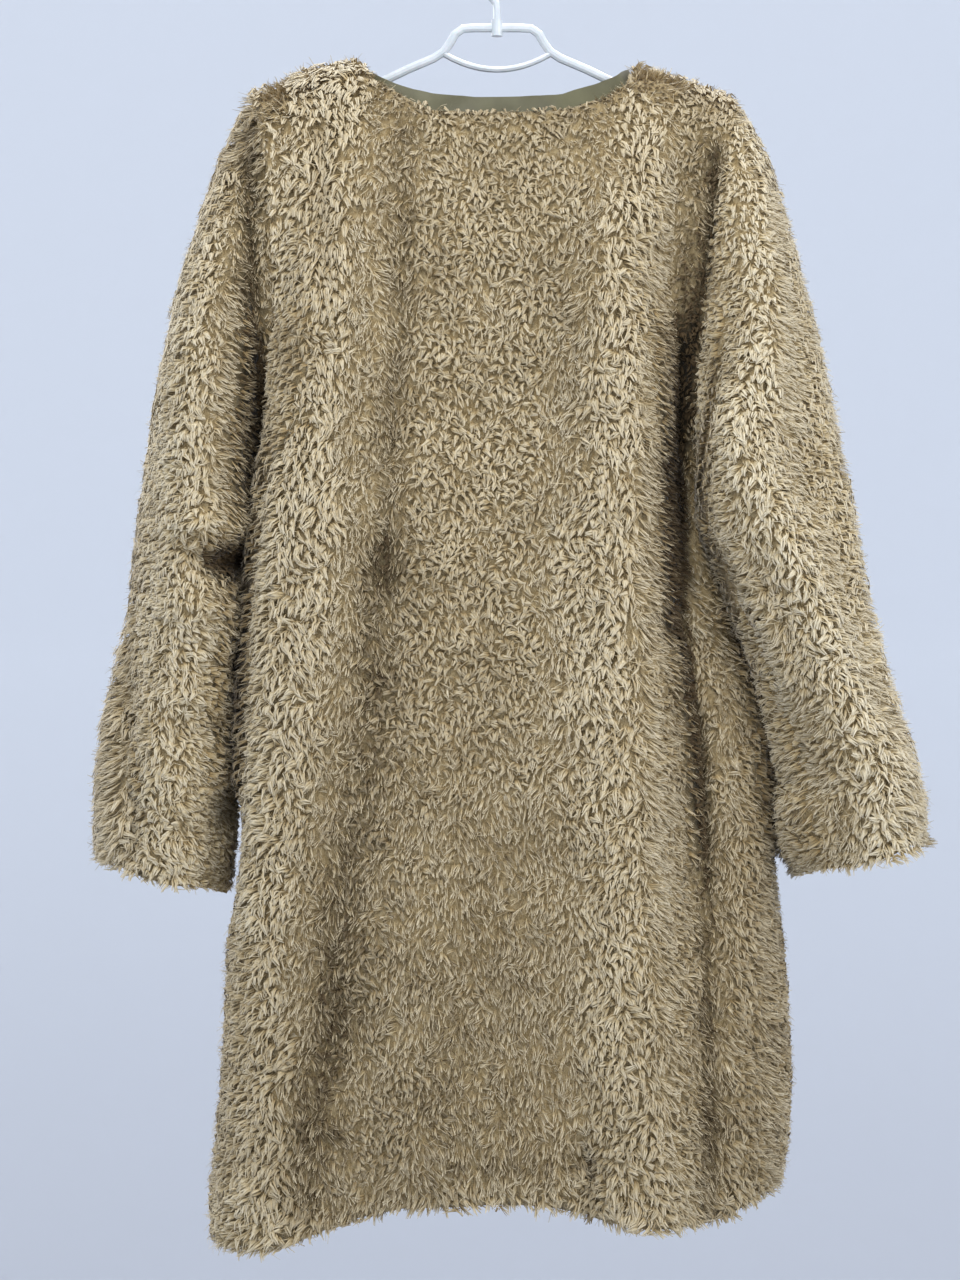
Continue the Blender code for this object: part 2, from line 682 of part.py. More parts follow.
def facing_rows(face, halves):
    """Points of the strip that lines one face's neck edge, on its middle, and their directions.

    The first row stands above the edge; the others lie under the panel's own rows.
    """
    inside, _, surface = body_panel(face, halves)
    keep = [j for j, p in enumerate(inside[0]) if abs(p.x) <= NECK_HALF + HALF_GAP / 2]
    depth = FACING_GAP + FACING_THICK / 2
    rows = [[inside[i][j] - surface[i][j] * depth for j in keep] for i in range(FACING_ROWS + 1)]
    edge = rows[0]
    top = []
    for k, j in enumerate(keep):
        out = surface[0][j]
        aside = math.copysign(FACING_TURN, -edge[k].x)
        end = ease((abs(edge[k].x) / NECK_HALF - 0.7) / 0.3)
        if face == BACK or abs(abs(inside[0][j].x) - NECK_HALF) < HALF_GAP:
            rise = Vector((aside * end, -face * FACING_LEAN * (1 - end), 1))
        else:
            along = edge[min(k + 1, len(edge) - 1)] - edge[max(k - 1, 0)]
            rise = along.cross(out).normalized()
            rise = (rise if rise.z - rise.x * edge[k].x > 0 else -rise) - out * FACING_LEAN
        top.append(edge[k] + rise.normalized() * between(FACING_STAND, FACING_STAND_SIDE, end))
    rows.insert(0, top)
    stand = [normal_of(rows[:2], 0, k) * -face for k in range(len(keep))]
    outs = [stand] + [[surface[i][j] for j in keep] for i in range(FACING_ROWS + 1)]
    outs[1] = [(a + b).normalized() for a, b in zip(outs[0], outs[1])]
    return rows, outs


def make_facings():
    for name, face, halves in (
        ("facing_back", BACK, (LEFT, RIGHT)),
        ("facing_front_left", FRONT, (LEFT,)),
        ("facing_front_right", FRONT, (RIGHT,)),
    ):
        rows, outs = facing_rows(face, halves)
        walls = []
        for reach in (-FACING_THICK / 2, FACING_THICK / 2):
            wall = [[p + out * reach for p, out in zip(*pair)] for pair in zip(rows, outs)]
            for row in wall:
                for point in row:
                    point.y = face * max(face * point.y, HALF_GAP)
                    if len(halves) == 1:
                        point.x = halves[0] * max(halves[0] * point.x, FRONT_EDGE_GAP / 2)
            walls.append(wall)
        cloth_wall(name, walls[0], walls[1], SATIN)


def bar(bm, line, half_high, half_deep, sides=8):
    """A round-edged bar along points in the XZ plane, with closed ends."""
    rings = []
    deep = Vector((0, half_deep, 0))
    for i, point in enumerate(line):
        along = (line[min(i + 1, len(line) - 1)] - line[max(i - 1, 0)]).normalized()
        up = Vector((-along.z, 0, along.x))
        rings.append([
            bm.verts.new(point + up * half_high * math.cos(a) + deep * math.sin(a))
            for a in (2 * math.pi * k / sides for k in range(sides))
        ])
    for ring, following in zip(rings, rings[1:]):
        for k in range(sides):
            m = (k + 1) % sides
            bm.faces.new((ring[k], ring[m], following[m], following[k]))
    bm.faces.new(rings[0])
    bm.faces.new(rings[-1])


def make_hanger():
    right_half = [Vector((p.x, 0, p.z)) for p in ARM_LINE]
    line = [Vector((-p.x, 0, p.z)) for p in reversed(right_half)] + right_half[1:]
    bm = bmesh.new()
    bar(bm, line, ARM_HEIGHT / 2, ARM_DEPTH / 2, sides=10)
    arms = finish_object("hanger_frame", bm, PLASTIC)
    bm = bmesh.new()
    brace = []
    for i in range(BRACE_STEPS + 1):
        share = 2 * i / BRACE_STEPS - 1
        z = between(BRACE_LOW_Z, BRACE_ENDS.z, share**2)
        brace.append(Vector((BRACE_ENDS.x * BRACE_SINK * share, 0, z)))
    bar(bm, brace, BRACE_RADIUS, BRACE_RADIUS)
    brace_cutter = finish_object("brace", bm, PLASTIC)
    union = arms.modifiers.new("brace", "BOOLEAN")
    union.operation, union.object = "UNION", brace_cutter
    bm = bmesh.new()
    ends = [Vector((0, 0, BOSS_LOW)), Vector((0, 0, ARCH_Z + BOSS_RISE))]
    bar(bm, ends, BOSS_RADIUS, BOSS_RADIUS, sides=14)
    boss = finish_object("boss", bm, PLASTIC)
    join = arms.modifiers.new("boss", "BOOLEAN")
    join.operation, join.object = "UNION", boss
    for guide in (brace_cutter, boss):
        guide.hide_render = True
        guide.display_type = "WIRE"

    bm = bmesh.new()
    bar(bm, hook_line(), STEM_RADIUS, STEM_RADIUS, sides=10)
    finish_object("hanger_hook", bm, PLASTIC)


def hook_line():
    """Middle line of the stem and hook: up, out in a soft bend, and round to the open mouth."""
    foot = ARCH_Z + BOSS_RISE + SEAM_GAP
    radius = HOOK_BEND + STEM_RADIUS
    centre = Vector((0, 0, -HOOK_BEND))
    first, last = math.radians(HOOK_START), math.radians(HOOK_END)
    meet = centre + Vector((math.cos(first), 0, math.sin(first))) * radius
    path = [Vector((0, 0, foot)), Vector((0, 0, HOOK_LEAVE_Z))]
    out = Vector((0, 0, HOOK_LEAVE_Z + HOOK_REACH))
    back = meet - Vector((-math.sin(first), 0, math.cos(first))) * HOOK_REACH
    for step in range(1, 6):
        t = step / 6
        path.append(
            path[1] * (1 - t) ** 3 + out * 3 * t * (1 - t) ** 2
            + back * 3 * t**2 * (1 - t) + meet * t**3
        )
    for step in range(HOOK_STEPS + 1):
        a = between(first, last, step / HOOK_STEPS)
        path.append(centre + Vector((math.cos(a), 0, math.sin(a))) * radius)
    return path


def main():
    for old in list(bpy.data.objects):
        bpy.data.objects.remove(old)
    make_body()
    make_sleeves()
    make_facings()
    make_hanger()


main()
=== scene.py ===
"""Looks of a faux fur coat on its hanger: pile, lining, facing, plastic, light and camera.

Everything is in metres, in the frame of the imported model: +Z up, +X the wearer's left, +Y the back
of the coat, and the origin inside the hook's bend. Each fur panel of the model is a wall whose inside
is the lining and whose outside is the reach of the pile. Here it becomes a thin shell of cloth with
thousands of small curls rooted in it.
"""
import logging
import math
from dataclasses import dataclass, field
from enum import Enum

import bmesh
import bpy
import numpy as np
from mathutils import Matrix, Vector, noise
from mathutils.bvhtree import BVHTree


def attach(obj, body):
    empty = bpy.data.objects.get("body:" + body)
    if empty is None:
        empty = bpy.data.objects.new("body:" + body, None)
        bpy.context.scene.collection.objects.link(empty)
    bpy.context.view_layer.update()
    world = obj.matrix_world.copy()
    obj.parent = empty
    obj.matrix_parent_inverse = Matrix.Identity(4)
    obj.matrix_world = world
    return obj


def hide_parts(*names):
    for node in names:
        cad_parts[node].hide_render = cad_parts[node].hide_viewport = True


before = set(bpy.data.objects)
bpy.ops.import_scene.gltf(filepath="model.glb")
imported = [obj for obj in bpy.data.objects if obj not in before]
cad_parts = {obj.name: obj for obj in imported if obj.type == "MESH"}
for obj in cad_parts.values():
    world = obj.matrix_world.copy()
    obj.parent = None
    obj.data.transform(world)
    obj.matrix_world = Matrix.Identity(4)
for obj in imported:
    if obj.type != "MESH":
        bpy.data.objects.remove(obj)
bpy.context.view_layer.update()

BODY = "root"
UV_MAP = "OFBake"
SHADE = "shade"  # attribute that shades the undercoat
TONES = 16  # columns of the UV map, grey to cream
TONE_SPAN = (0.04, 0.96)  # a strip's share of its column
UV_MARGIN = 0.02
NOISE_SEED = 4
MERGE = 1e-5  # corners closer than this become one
WHITE = (1.0, 1.0, 1.0, 1.0)

Array = np.ndarray
EditMesh = bmesh.types.BMesh
Face = bmesh.types.BMFace
Material = bpy.types.Material
Pair = tuple[float, float]
Socket = bpy.types.NodeSocket
Piece = bpy.types.Object
Triple = tuple[float, float, float]

log = logging.getLogger("coat")


class Slot(Enum):
    """Names of material slots."""

    FUR = "fur"
    SATIN = "satin"
    PLASTIC = "plastic"


class Coat(Enum):
    """What a shell's faces show."""

    UNDERCOAT = 0
    LINING = 1


def srgb(red: float, green: float, blue: float) -> tuple[float, float, float, float]:
    """Turns a colour given in 0 to 255 sRGB into Blender's linear values.

    Args:
        red: Red, 0 to 255.
        green: Green, 0 to 255.
        blue: Blue, 0 to 255.

    Returns:
        The linear colour, with an alpha of 1.
    """
    def linear(value: float) -> float:
        """One channel."""
        share = value / 255
        return share / 12.92 if share <= 0.04045 else ((share + 0.055) / 1.055) ** 2.4

    return linear(red), linear(green), linear(blue), 1.0


def ease(t: Array | float) -> Array:
    """0 to 1 with a soft start and end."""
    t = np.clip(t, 0.0, 1.0)
    return t * t * (3 - 2 * t)


def unit(vectors: Array) -> Array:
    """Rows of an array, each made one long."""
    return vectors / np.maximum(np.linalg.norm(vectors, axis=-1, keepdims=True), 1e-9)


def noise_at(points: Array, size: float) -> Array:
    """Smooth noise, -1 to 1, with waves of a size."""
    return np.array([noise.noise(Vector(p) / size) for p in points])


def vectors_at(points: Array, size: float) -> Array:
    """Smooth noise in three directions, with waves of a size."""
    return np.array([noise.noise_vector(Vector(p) / size) for p in points])


# ---- finishes ----
class NodeGraph:
    """Short ways to add and join a material's nodes."""

    def __init__(self, name: str) -> None:
        """Starts a material with a Principled shader.

        Args:
            name: The material's name.
        """
        self.material = bpy.data.materials.new(name)
        self.material.use_nodes = True
        self.tree = self.material.node_tree
        self.shader = self.tree.nodes["Principled BSDF"]

    def node(self, kind: str, **values: object) -> bpy.types.Node:
        """Adds a node.

        Args:
            kind: Its type, without the ShaderNode in front.
            **values: Attributes of the node.

        Returns:
            The new node.
        """
        made = self.tree.nodes.new("ShaderNode" + kind)
        for key, value in values.items():
            setattr(made, key, value)
        return made

    def link(self, source: Socket, target: Socket) -> None:
        """Joins two sockets."""
        self.tree.links.new(source, target)

    def ramp(self, factor: Socket, stops: tuple) -> Socket:
        """Adds a colour ramp.

        Args:
            factor: What drives it.
            stops: Pairs of a place, 0 to 1, and a colour.

        Returns:
            Its colour output.
        """
        made = self.node("ValToRGB")
        elements = made.color_ramp.elements
        while len(elements) < len(stops):
            elements.new(0.5)
        for element, (place, colour) in zip(elements, stops):
            element.position = place
            element.color = colour
        self.link(factor, made.inputs["Fac"])
        return made.outputs["Color"]

    def mix(self, blend: str, share: float | Socket, first: Socket | tuple, second: Socket | tuple) -> Socket:
        """Mixes two colours.

        Args:
            blend: Blend type, such as MIX or MULTIPLY.
            share: Share of the second, a number or a socket.
            first: A socket or a colour.
            second: A socket or a colour.

        Returns:
            The mixed colour's socket.
        """
        made = self.node("Mix", data_type="RGBA", blend_type=blend)
        for key, value in ((0, share), (6, first), (7, second)):
            if isinstance(value, Socket):
                self.link(value, made.inputs[key])
            else:
                made.inputs[key].default_value = value
        return made.outputs[2]

    def noise(self, vector: Socket, scale: float, detail: float = 3.0, rough: float = 0.5) -> Socket:
        """Adds a noise texture.

        Args:
            vector: Where it is read.
            scale: Waves for each unit.
            detail: Octaves.
            rough: Strength of the finer octaves.

        Returns:
            Its value's socket.
        """
        made = self.node("TexNoise")
        made.inputs["Scale"].default_value = scale
        made.inputs["Detail"].default_value = detail
        made.inputs["Roughness"].default_value = rough
        self.link(vector, made.inputs["Vector"])
        return made.outputs["Fac"]

    def math(self, operation: str, first: Socket, second: float = 0.0) -> Socket:
        """Adds a sum of one socket and a number, and returns its value's socket."""
        made = self.node("Math", operation=operation)
        self.link(first, made.inputs[0])
        made.inputs[1].default_value = second
        return made.outputs[0]

    def stretched(self, vector: Socket, scale: Triple) -> Socket:
        """Coordinates multiplied along each axis."""
        made = self.node("Mapping")
        made.inputs["Scale"].default_value = scale
        self.link(vector, made.inputs["Vector"])
        return made.outputs["Vector"]

    def bump(self, height: Socket, strength: float, distance: float) -> None:
        """Drives the shader's normal from a height.

        Args:
            height: The height's socket.
            strength: 0 to 1.
            distance: Metres between a height of 0 and of 1.
        """
        made = self.node("Bump")
        made.inputs["Strength"].default_value = strength
        made.inputs["Distance"].default_value = distance
        self.link(height, made.inputs["Height"])
        self.link(made.outputs["Normal"], self.shader.inputs["Normal"])

    def ranged(self, value: Socket, out_of: Pair, into: Pair) -> Socket:
        """Maps a value from one range to another.

        Args:
            value: The value's socket.
            out_of: Its range.
            into: The range of the result.

        Returns:
            The result's socket.
        """
        made = self.node("MapRange")
        names = ("From Min", "From Max", "To Min", "To Max")
        for name, limit in zip(names, out_of + into):
            made.inputs[name].default_value = limit
        self.link(value, made.inputs["Value"])
        return made.outputs["Result"]

    def place(self) -> Socket:
        """Each point's place on the object."""
        return self.node("TexCoord").outputs["Object"]

    def paint(self, colour: Socket) -> None:
        """Drives the shader's colour."""
        self.link(colour, self.shader.inputs["Base Color"])

    def set(self, **values: float | tuple) -> None:
        """Sets the shader's own sockets by name, with _ for a space."""
        for key, value in values.items():
            self.shader.inputs[key.replace("_", " ")].default_value = value


@dataclass(frozen=True)
class PileFinish:
    """Curls, coloured by the UV map, with shade painted along their edges and deep in the pile.

    Across, the map holds one narrow window for each tone, grey first and cream last, and the place
    within the window is the way across the strip. Up, it is the way from root to tip.
    """

    name: str = "fur_pile"
    root: tuple = srgb(162, 138, 92)
    low: tuple = srgb(202, 183, 141)
    high: tuple = srgb(221, 210, 182)
    tip: tuple = srgb(222, 212, 188)
    # painted shade: each strip's edges darken towards this colour, for the gaps between strips and the
    # rounding of each lock
    edge: tuple = srgb(198, 179, 138)
    edges: float = 0.6
    streaks: float = 0.45
    tones: tuple = (
        (0.0, srgb(94, 81, 60)), (0.30, srgb(196, 189, 177)), (0.66, srgb(239, 235, 228)), (1.0, WHITE),
    )

    def make(self) -> Material:
        """Returns the material."""
        graph = NodeGraph(self.name)
        uv = graph.node("UVMap", uv_map=UV_MAP).outputs["UV"]
        parts = graph.node("SeparateXYZ")
        graph.link(uv, parts.inputs[0])
        window = graph.math("MULTIPLY", parts.outputs["X"], TONES)
        across = graph.math("FRACT", window)
        level = graph.math("DIVIDE", graph.math("FLOOR", window), TONES - 1)
        # dark at the root to cream at the tip: the fur's paler tips, and painted shade deep in the pile near
        # the roots
        heights = ((0.0, self.root), (0.34, self.low), (0.74, self.high), (1.0, self.tip))
        along = graph.ramp(parts.outputs["Y"], heights)
        tone = graph.ramp(level, self.tones)
        # painted shade along each strip's edges
        sides = graph.ramp(across, ((0.0, self.edge), (0.24, WHITE), (0.76, WHITE), (1.0, self.edge)))
        strands = graph.noise(graph.stretched(uv, (TONES * 9.0, 3.0, 1.0)), 1.0, 2.0)
        streak = graph.ramp(strands, ((0.32, (0.50, 0.46, 0.38, 1)), (0.58, WHITE)))
        colour = graph.mix("MULTIPLY", 1.0, along, tone)
        colour = graph.mix("MULTIPLY", self.edges, colour, sides)
        colour = graph.mix("MULTIPLY", self.streaks, colour, streak)
        graph.paint(colour)
        graph.set(Roughness=0.65, Sheen_Weight=0.20, Sheen_Roughness=0.5, Specular_IOR_Level=0.2)
        return graph.material


@dataclass(frozen=True)
class UndercoatFinish:
    """The dense short pile under the curls: matted and bumpy, darkened by the shade painted into the mesh's
    colour attribute.
    """

    name: str = "fur_undercoat"
    dark: tuple = srgb(144, 124, 85)
    light: tuple = srgb(184, 165, 126)

    def make(self) -> Material:
        """Returns the material."""
        graph = NodeGraph(self.name)
        place = graph.place()
        curls = graph.noise(graph.stretched(place, (1.0, 1.0, 0.6)), 300.0, 4.0, 0.6)
        colour = graph.ramp(curls, ((0.35, self.dark), (0.68, self.light)))
        shade = graph.node("Attribute", attribute_name=SHADE).outputs["Color"]
        graph.paint(graph.mix("MULTIPLY", 1.0, colour, shade))
        graph.bump(curls, 0.9, 0.004)
        graph.set(Roughness=0.9, Specular_IOR_Level=0.1, Sheen_Weight=0.15)
        return graph.material


@dataclass(frozen=True)
class SatinFinish:
    """Olive satin: fine weave, soft gloss across it, small uneven puckers."""

    name: str
    colour: tuple = srgb(100, 98, 71)
    dark: tuple = srgb(76, 73, 51)
    roughness: float = 0.45

    def make(self) -> Material:
        """Returns the material."""
        graph = NodeGraph(self.name)
        place = graph.place()
        broad = graph.noise(place, 22.0, 3.0, 0.55)
        threads = graph.noise(graph.stretched(place, (700.0, 700.0, 2600.0)), 1.0, 1.0)
        colour = graph.ramp(broad, ((0.30, self.dark), (0.70, self.colour)))
        weave = graph.ramp(threads, ((0.3, (0.6, 0.6, 0.6, 1.0)), (0.7, WHITE)))
        graph.paint(graph.mix("MULTIPLY", 0.25, colour, weave))
        graph.bump(graph.noise(graph.stretched(place, (60.0, 60.0, 16.0)), 1.0, 3.0), 0.35, 0.002)
        graph.set(Roughness=self.roughness, Sheen_Weight=0.12, Specular_IOR_Level=0.28)
        return graph.material


@dataclass(frozen=True)
class PlasticFinish:
    """White moulded plastic, a little uneven and scuffed."""

    name: str = "hanger_plastic"
    colour: tuple = srgb(207, 213, 217)
    scuffed: tuple = srgb(192, 199, 204)

    def make(self) -> Material:
        """Returns the material."""
        graph = NodeGraph(self.name)
        place = graph.place()
        wear = graph.noise(place, 60.0, 5.0, 0.6)
        graph.paint(graph.ramp(wear, ((0.35, self.scuffed), (0.60, self.colour))))
        graph.link(graph.ranged(wear, (0.0, 1.0), (0.42, 0.26)), graph.shader.inputs["Roughness"])
        graph.bump(graph.noise(place, 900.0, 2.0), 0.08, 0.0004)
        graph.set(Specular_IOR_Level=0.5, Subsurface_Weight=0.08, Subsurface_Scale=0.003)
        return graph.material


@dataclass(frozen=True)
class StudioFinish:
    """Pale matt floor that curves up into the walls, painted darker towards the floor as shade."""

    name: str = "studio"
    colour: tuple = srgb(226, 230, 236)
    # painted shade: the cove darkens from the walls down to the floor
    low: tuple = srgb(196, 199, 206)
    fade: Pair = (-2.0, -0.6)

    def make(self) -> Material:
        """Returns the material."""
        graph = NodeGraph(self.name)
        place = graph.node("SeparateXYZ")
        graph.link(graph.place(), place.inputs[0])
        height = graph.ranged(place.outputs["Z"], self.fade, (0.0, 1.0))
        graph.paint(graph.ramp(height, ((0.0, self.low), (1.0, self.colour))))
        graph.set(Roughness=0.85, Specular_IOR_Level=0.1)
        return graph.material


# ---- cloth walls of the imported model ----
@dataclass(frozen=True)
class Zone:
    """A soft strip of the cloth along a line, on one face of the coat or on both.

    The line runs through points given as x and z. The cloth may lift off or sink down there, and its
    pile may be chunkier, paler, darker or longer than beside it, or stand up more. Its tone is partly the
    fur's own and partly painted light and shade: darker in creases, valleys and between sleeve and
    body, paler on crests and lit edges.
    """

    face: int  # 1 the coat's back, -1 its front, 0 both
    line: tuple[Pair, ...]
    half_width: float
    lift: float = 0.0
    # partly painted light and shade: below 0 darker in creases, valleys and crevices, above 0 paler on crests
    # and lit edges
    tone: float = 0.0
    chunk: float = 0.0
    longer: float = 0.0
    stand: float = 0.0
    sink: float = 0.0
    side_soft: float = 0.04  # over this much of y the zone fades out to the other face

    def near(self, points: Array) -> Array:
        """How much each point lies in the zone, 0 to 1."""
        flat = points[:, [0, 2]]
        best = np.full(len(points), np.inf)
        stops = np.array(self.line)
        for start, end in zip(stops, stops[1:]):
            way = end - start
            along = np.clip(((flat - start) @ way) / (way @ way), 0, 1)
            best = np.minimum(best, ((flat - start - along[:, None] * way) ** 2).sum(axis=1))
        on_face = ease(0.5 + points[:, 1] * self.face / self.side_soft) if self.face else 1.0
        return np.exp(-best / self.half_width**2) * on_face


def zones(face: int, *rows: tuple) -> tuple[Zone, ...]:
    """Makes the zones of a table.

    Args:
        face: 1 for the coat's back, -1 for its front, 0 for both.
        *rows: A zone's values in the order of its fields, from the half width, and at last its line.

    Returns:
        The zones.
    """
    return tuple(Zone(face, line, *values) for *values, line in rows)


@dataclass
class ClothWall:
    """A fur panel of the model, split into its pile side and its lining side, with finer folds."""

    node: str
    axis: Pair  # x and y of the middle of the panel's hollow
    sharp: float  # edges from this angle on part the two sides
    zones: tuple[Zone, ...]
    top: float = -0.20  # above this, outward is told from this height
    wave: float = 0.0022  # how far the cloth waves
    wave_size: float = 0.055
    share: float = 0.74  # where the undercoat lies, from lining to face
    closed: float = 0.0056  # how far it is pushed out where cloth presses on cloth
    squeezed_from: float = -0.28  # height below which sleeve and body may press on each other
    squeezed_to: Pair = (-0.680, -0.732)  # lowest height of that, left and right
    free_depth: float = 0.0155  # wall from which the pile stands free
    fades: Triple = (0.04, 0.02, 0.003)  # how softly: from above, from below, by depth
    mesh: EditMesh = field(init=False)

    def __post_init__(self) -> None:
        """Copies the node's mesh, tells its two sides apart, and folds it."""
        self.mesh = bmesh.new()
        self.mesh.from_mesh(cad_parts[self.node].data)
        bmesh.ops.remove_doubles(self.mesh, verts=self.mesh.verts, dist=MERGE)
        self.mesh.verts.ensure_lookup_table()
        self.mesh.normal_update()
        is_pile = self.tell_sides()
        feet = self.partners(is_pile)
        self.pile = self.mesh.verts.layers.float.new("pile")
        self.foot = self.mesh.verts.layers.float_vector.new("foot")
        for vert in self.mesh.verts:
            vert[self.pile] = float(is_pile[vert.index])
            vert[self.foot] = feet[vert.index]
        bmesh.ops.subdivide_edges(self.mesh, edges=self.mesh.edges, cuts=1, use_grid_fill=True)
        moved = self.folded(np.array([v.co for v in self.mesh.verts]))
        roots = self.folded(np.array([v[self.foot] for v in self.mesh.verts]))
        for vert, place, root in zip(self.mesh.verts, moved, roots):
            vert.co = place
            vert[self.foot] = root
        self.mesh.normal_update()

    def tell_sides(self) -> Array:
        """Tells for each vertex whether it is on the pile side."""
        votes = np.zeros(len(self.mesh.verts))
        for group in self.largest_groups():
            side = math.copysign(1.0, sum(self.outward(f) * f.calc_area() for f in group))
            for face in group:
                for vert in face.verts:
                    votes[vert.index] += side
        is_pile = votes > 0
        strays = [
            v.index
            for v in self.mesh.verts
            if 3 * sum(is_pile[e.other_vert(v).index] != is_pile[v.index] for e in v.link_edges)
            > 2 * len(v.link_edges)
        ]
        is_pile[strays] = ~is_pile[strays]
        return is_pile

    def largest_groups(self) -> list[list[Face]]:
        """The two largest groups of faces that no sharp edge parts: the wall's two sides."""
        seen: set[Face] = set()
        groups = []
        for start in self.mesh.faces:
            if start in seen:
                continue
            seen.add(start)
            open_faces, group = [start], []
            while open_faces:
                face = open_faces.pop()
                group.append(face)
                for edge in face.edges:
                    if edge.calc_face_angle() < self.sharp:
                        for other in edge.link_faces:
                            if other not in seen:
                                seen.add(other)
                                open_faces.append(other)
            groups.append(group)
        return sorted(groups, key=len)[-2:]

    def outward(self, face: Face) -> float:
        """How much a face looks away from the upright axis of the panel's hollow, -1 to 1."""
        centre = face.calc_center_median()
        return face.normal.dot((centre - Vector((*self.axis, min(centre.z, self.top)))).normalized())

    def partners(self, is_pile: Array) -> Array:
        """For each vertex of the pile side, the point of the lining side that it stands on."""
        faces = [[v.index for v in f.verts] for f in self.mesh.faces]
        lining = [face for face in faces if not is_pile[face].any()]
        tree = BVHTree.FromPolygons([v.co for v in self.mesh.verts], lining)
        found = np.array([v.co for v in self.mesh.verts])
        for vert in self.mesh.verts:
            if not is_pile[vert.index]:
                continue
            across = [e.other_vert(vert) for e in vert.link_edges]
            across = [v for v in across if not is_pile[v.index]]
            if across:
                found[vert.index] = min(across, key=lambda v: (v.co - vert.co).length).co
            else:
                found[vert.index] = tree.find_nearest(vert.co)[0]
        return found

    def folded(self, points: Array) -> Array:
        """Moves points by the zones' lifts and by a slow wave of the cloth."""
        moved = points + self.wave * vectors_at(points, self.wave_size)
        for zone in self.zones:
            if zone.lift or zone.sink:
                near = zone.near(points)
                moved[:, 1] += zone.face * zone.lift * near
                moved[:, 2] -= zone.sink * near
        return moved

    def is_piled(self, face: Face) -> bool:
        """Whether a face lies wholly on the pile side."""
        return all(v[self.pile] > 0.99 for v in face.verts)

    def field(self, points: Array, name: str) -> Array:
        """Sums what the zones add at each point to chunk, tone, longer or stand."""
        total = np.zeros(len(points))
        for zone in self.zones:
            if getattr(zone, name):
                total += getattr(zone, name) * zone.near(points)
        return total

    def squeezed(self, places: Array, depths: Array) -> Array:
        """How much the pile is pressed between sleeve and body, 0 to 1."""
        above, below, thick = self.fades
        low = np.where(places[:, 0] > 0, *self.squeezed_to)
        reach = ease((self.squeezed_from - places[:, 2]) / above) * ease((places[:, 2] - low) / below)
        return ease((self.free_depth - depths) / thick) * reach

    def shares(self, places: Array, depths: Array) -> Array:
        """Where the undercoat lies, as a share of the way from the lining out to the wall's face."""
        return self.share + (1.0 - self.share + self.closed / depths) * self.squeezed(places, depths)


@dataclass
class Shell:
    """The cloth of a panel: lining inside, matted undercoat outside, as one thin closed wall."""

    wall: ClothWall
    lump: float = 0.0014  # how uneven the undercoat is
    lump_size: float = 0.011
    shading: float = 1.2  # how much the zones' tone shades it
    squeezed_shade: float = 0.50  # how much darker it is between sleeve and body
    darkest: float = 0.06

    def build(self) -> Piece:
        """Draws the pile side in to the undercoat, makes it uneven, paints shade into its colour and returns
        the object.
        """
        wall = self.wall
        mesh = wall.mesh.copy()
        pile, foot = mesh.verts.layers.float["pile"], mesh.verts.layers.float_vector["foot"]
        for face in mesh.faces:
            lined = all(v[pile] < 0.01 for v in face.verts)
            face.material_index = Coat.LINING.value if lined else Coat.UNDERCOAT.value
            face.smooth = True
        places = np.array([v.co for v in mesh.verts])
        roots = np.array([v[foot] for v in mesh.verts])
        depths = np.maximum(np.linalg.norm(places - roots, axis=1), 0.001)
        shares = wall.shares(places, depths)
        squeezed = wall.squeezed(places, depths)
        # painted shade: darker where the zones' tone is low and between sleeve and body
        shades = 1.0 + self.shading * wall.field(places, "tone") - self.squeezed_shade * squeezed
        shades = np.clip(shades, self.darkest, 1.0)
        colour = mesh.verts.layers.float_color.new(SHADE)
        for vert, share, shade in zip(mesh.verts, shares, shades):
            rough = noise.noise(vert.co / self.lump_size) * self.lump * vert[pile]
            vert.co = vert[foot].lerp(vert.co, share) + vert.normal * rough
            vert[colour] = (shade, shade, shade, 1.0)
        return add_object(wall.node + "_cloth", mesh)


def add_object(name: str, mesh: EditMesh | bpy.types.Mesh) -> Piece:
    """Links a mesh to the scene.

    Args:
        name: The object's name.
        mesh: A bmesh, which is freed, or a mesh.

    Returns:
        The new object, at the origin.
    """
    if isinstance(mesh, EditMesh):
        data = bpy.data.meshes.new(name)
        mesh.to_mesh(data)
        mesh.free()
        mesh = data
    made = bpy.data.objects.new(name, mesh)
    bpy.context.scene.collection.objects.link(made)
    log.info("%s: %d faces", name, len(mesh.polygons))
    return made


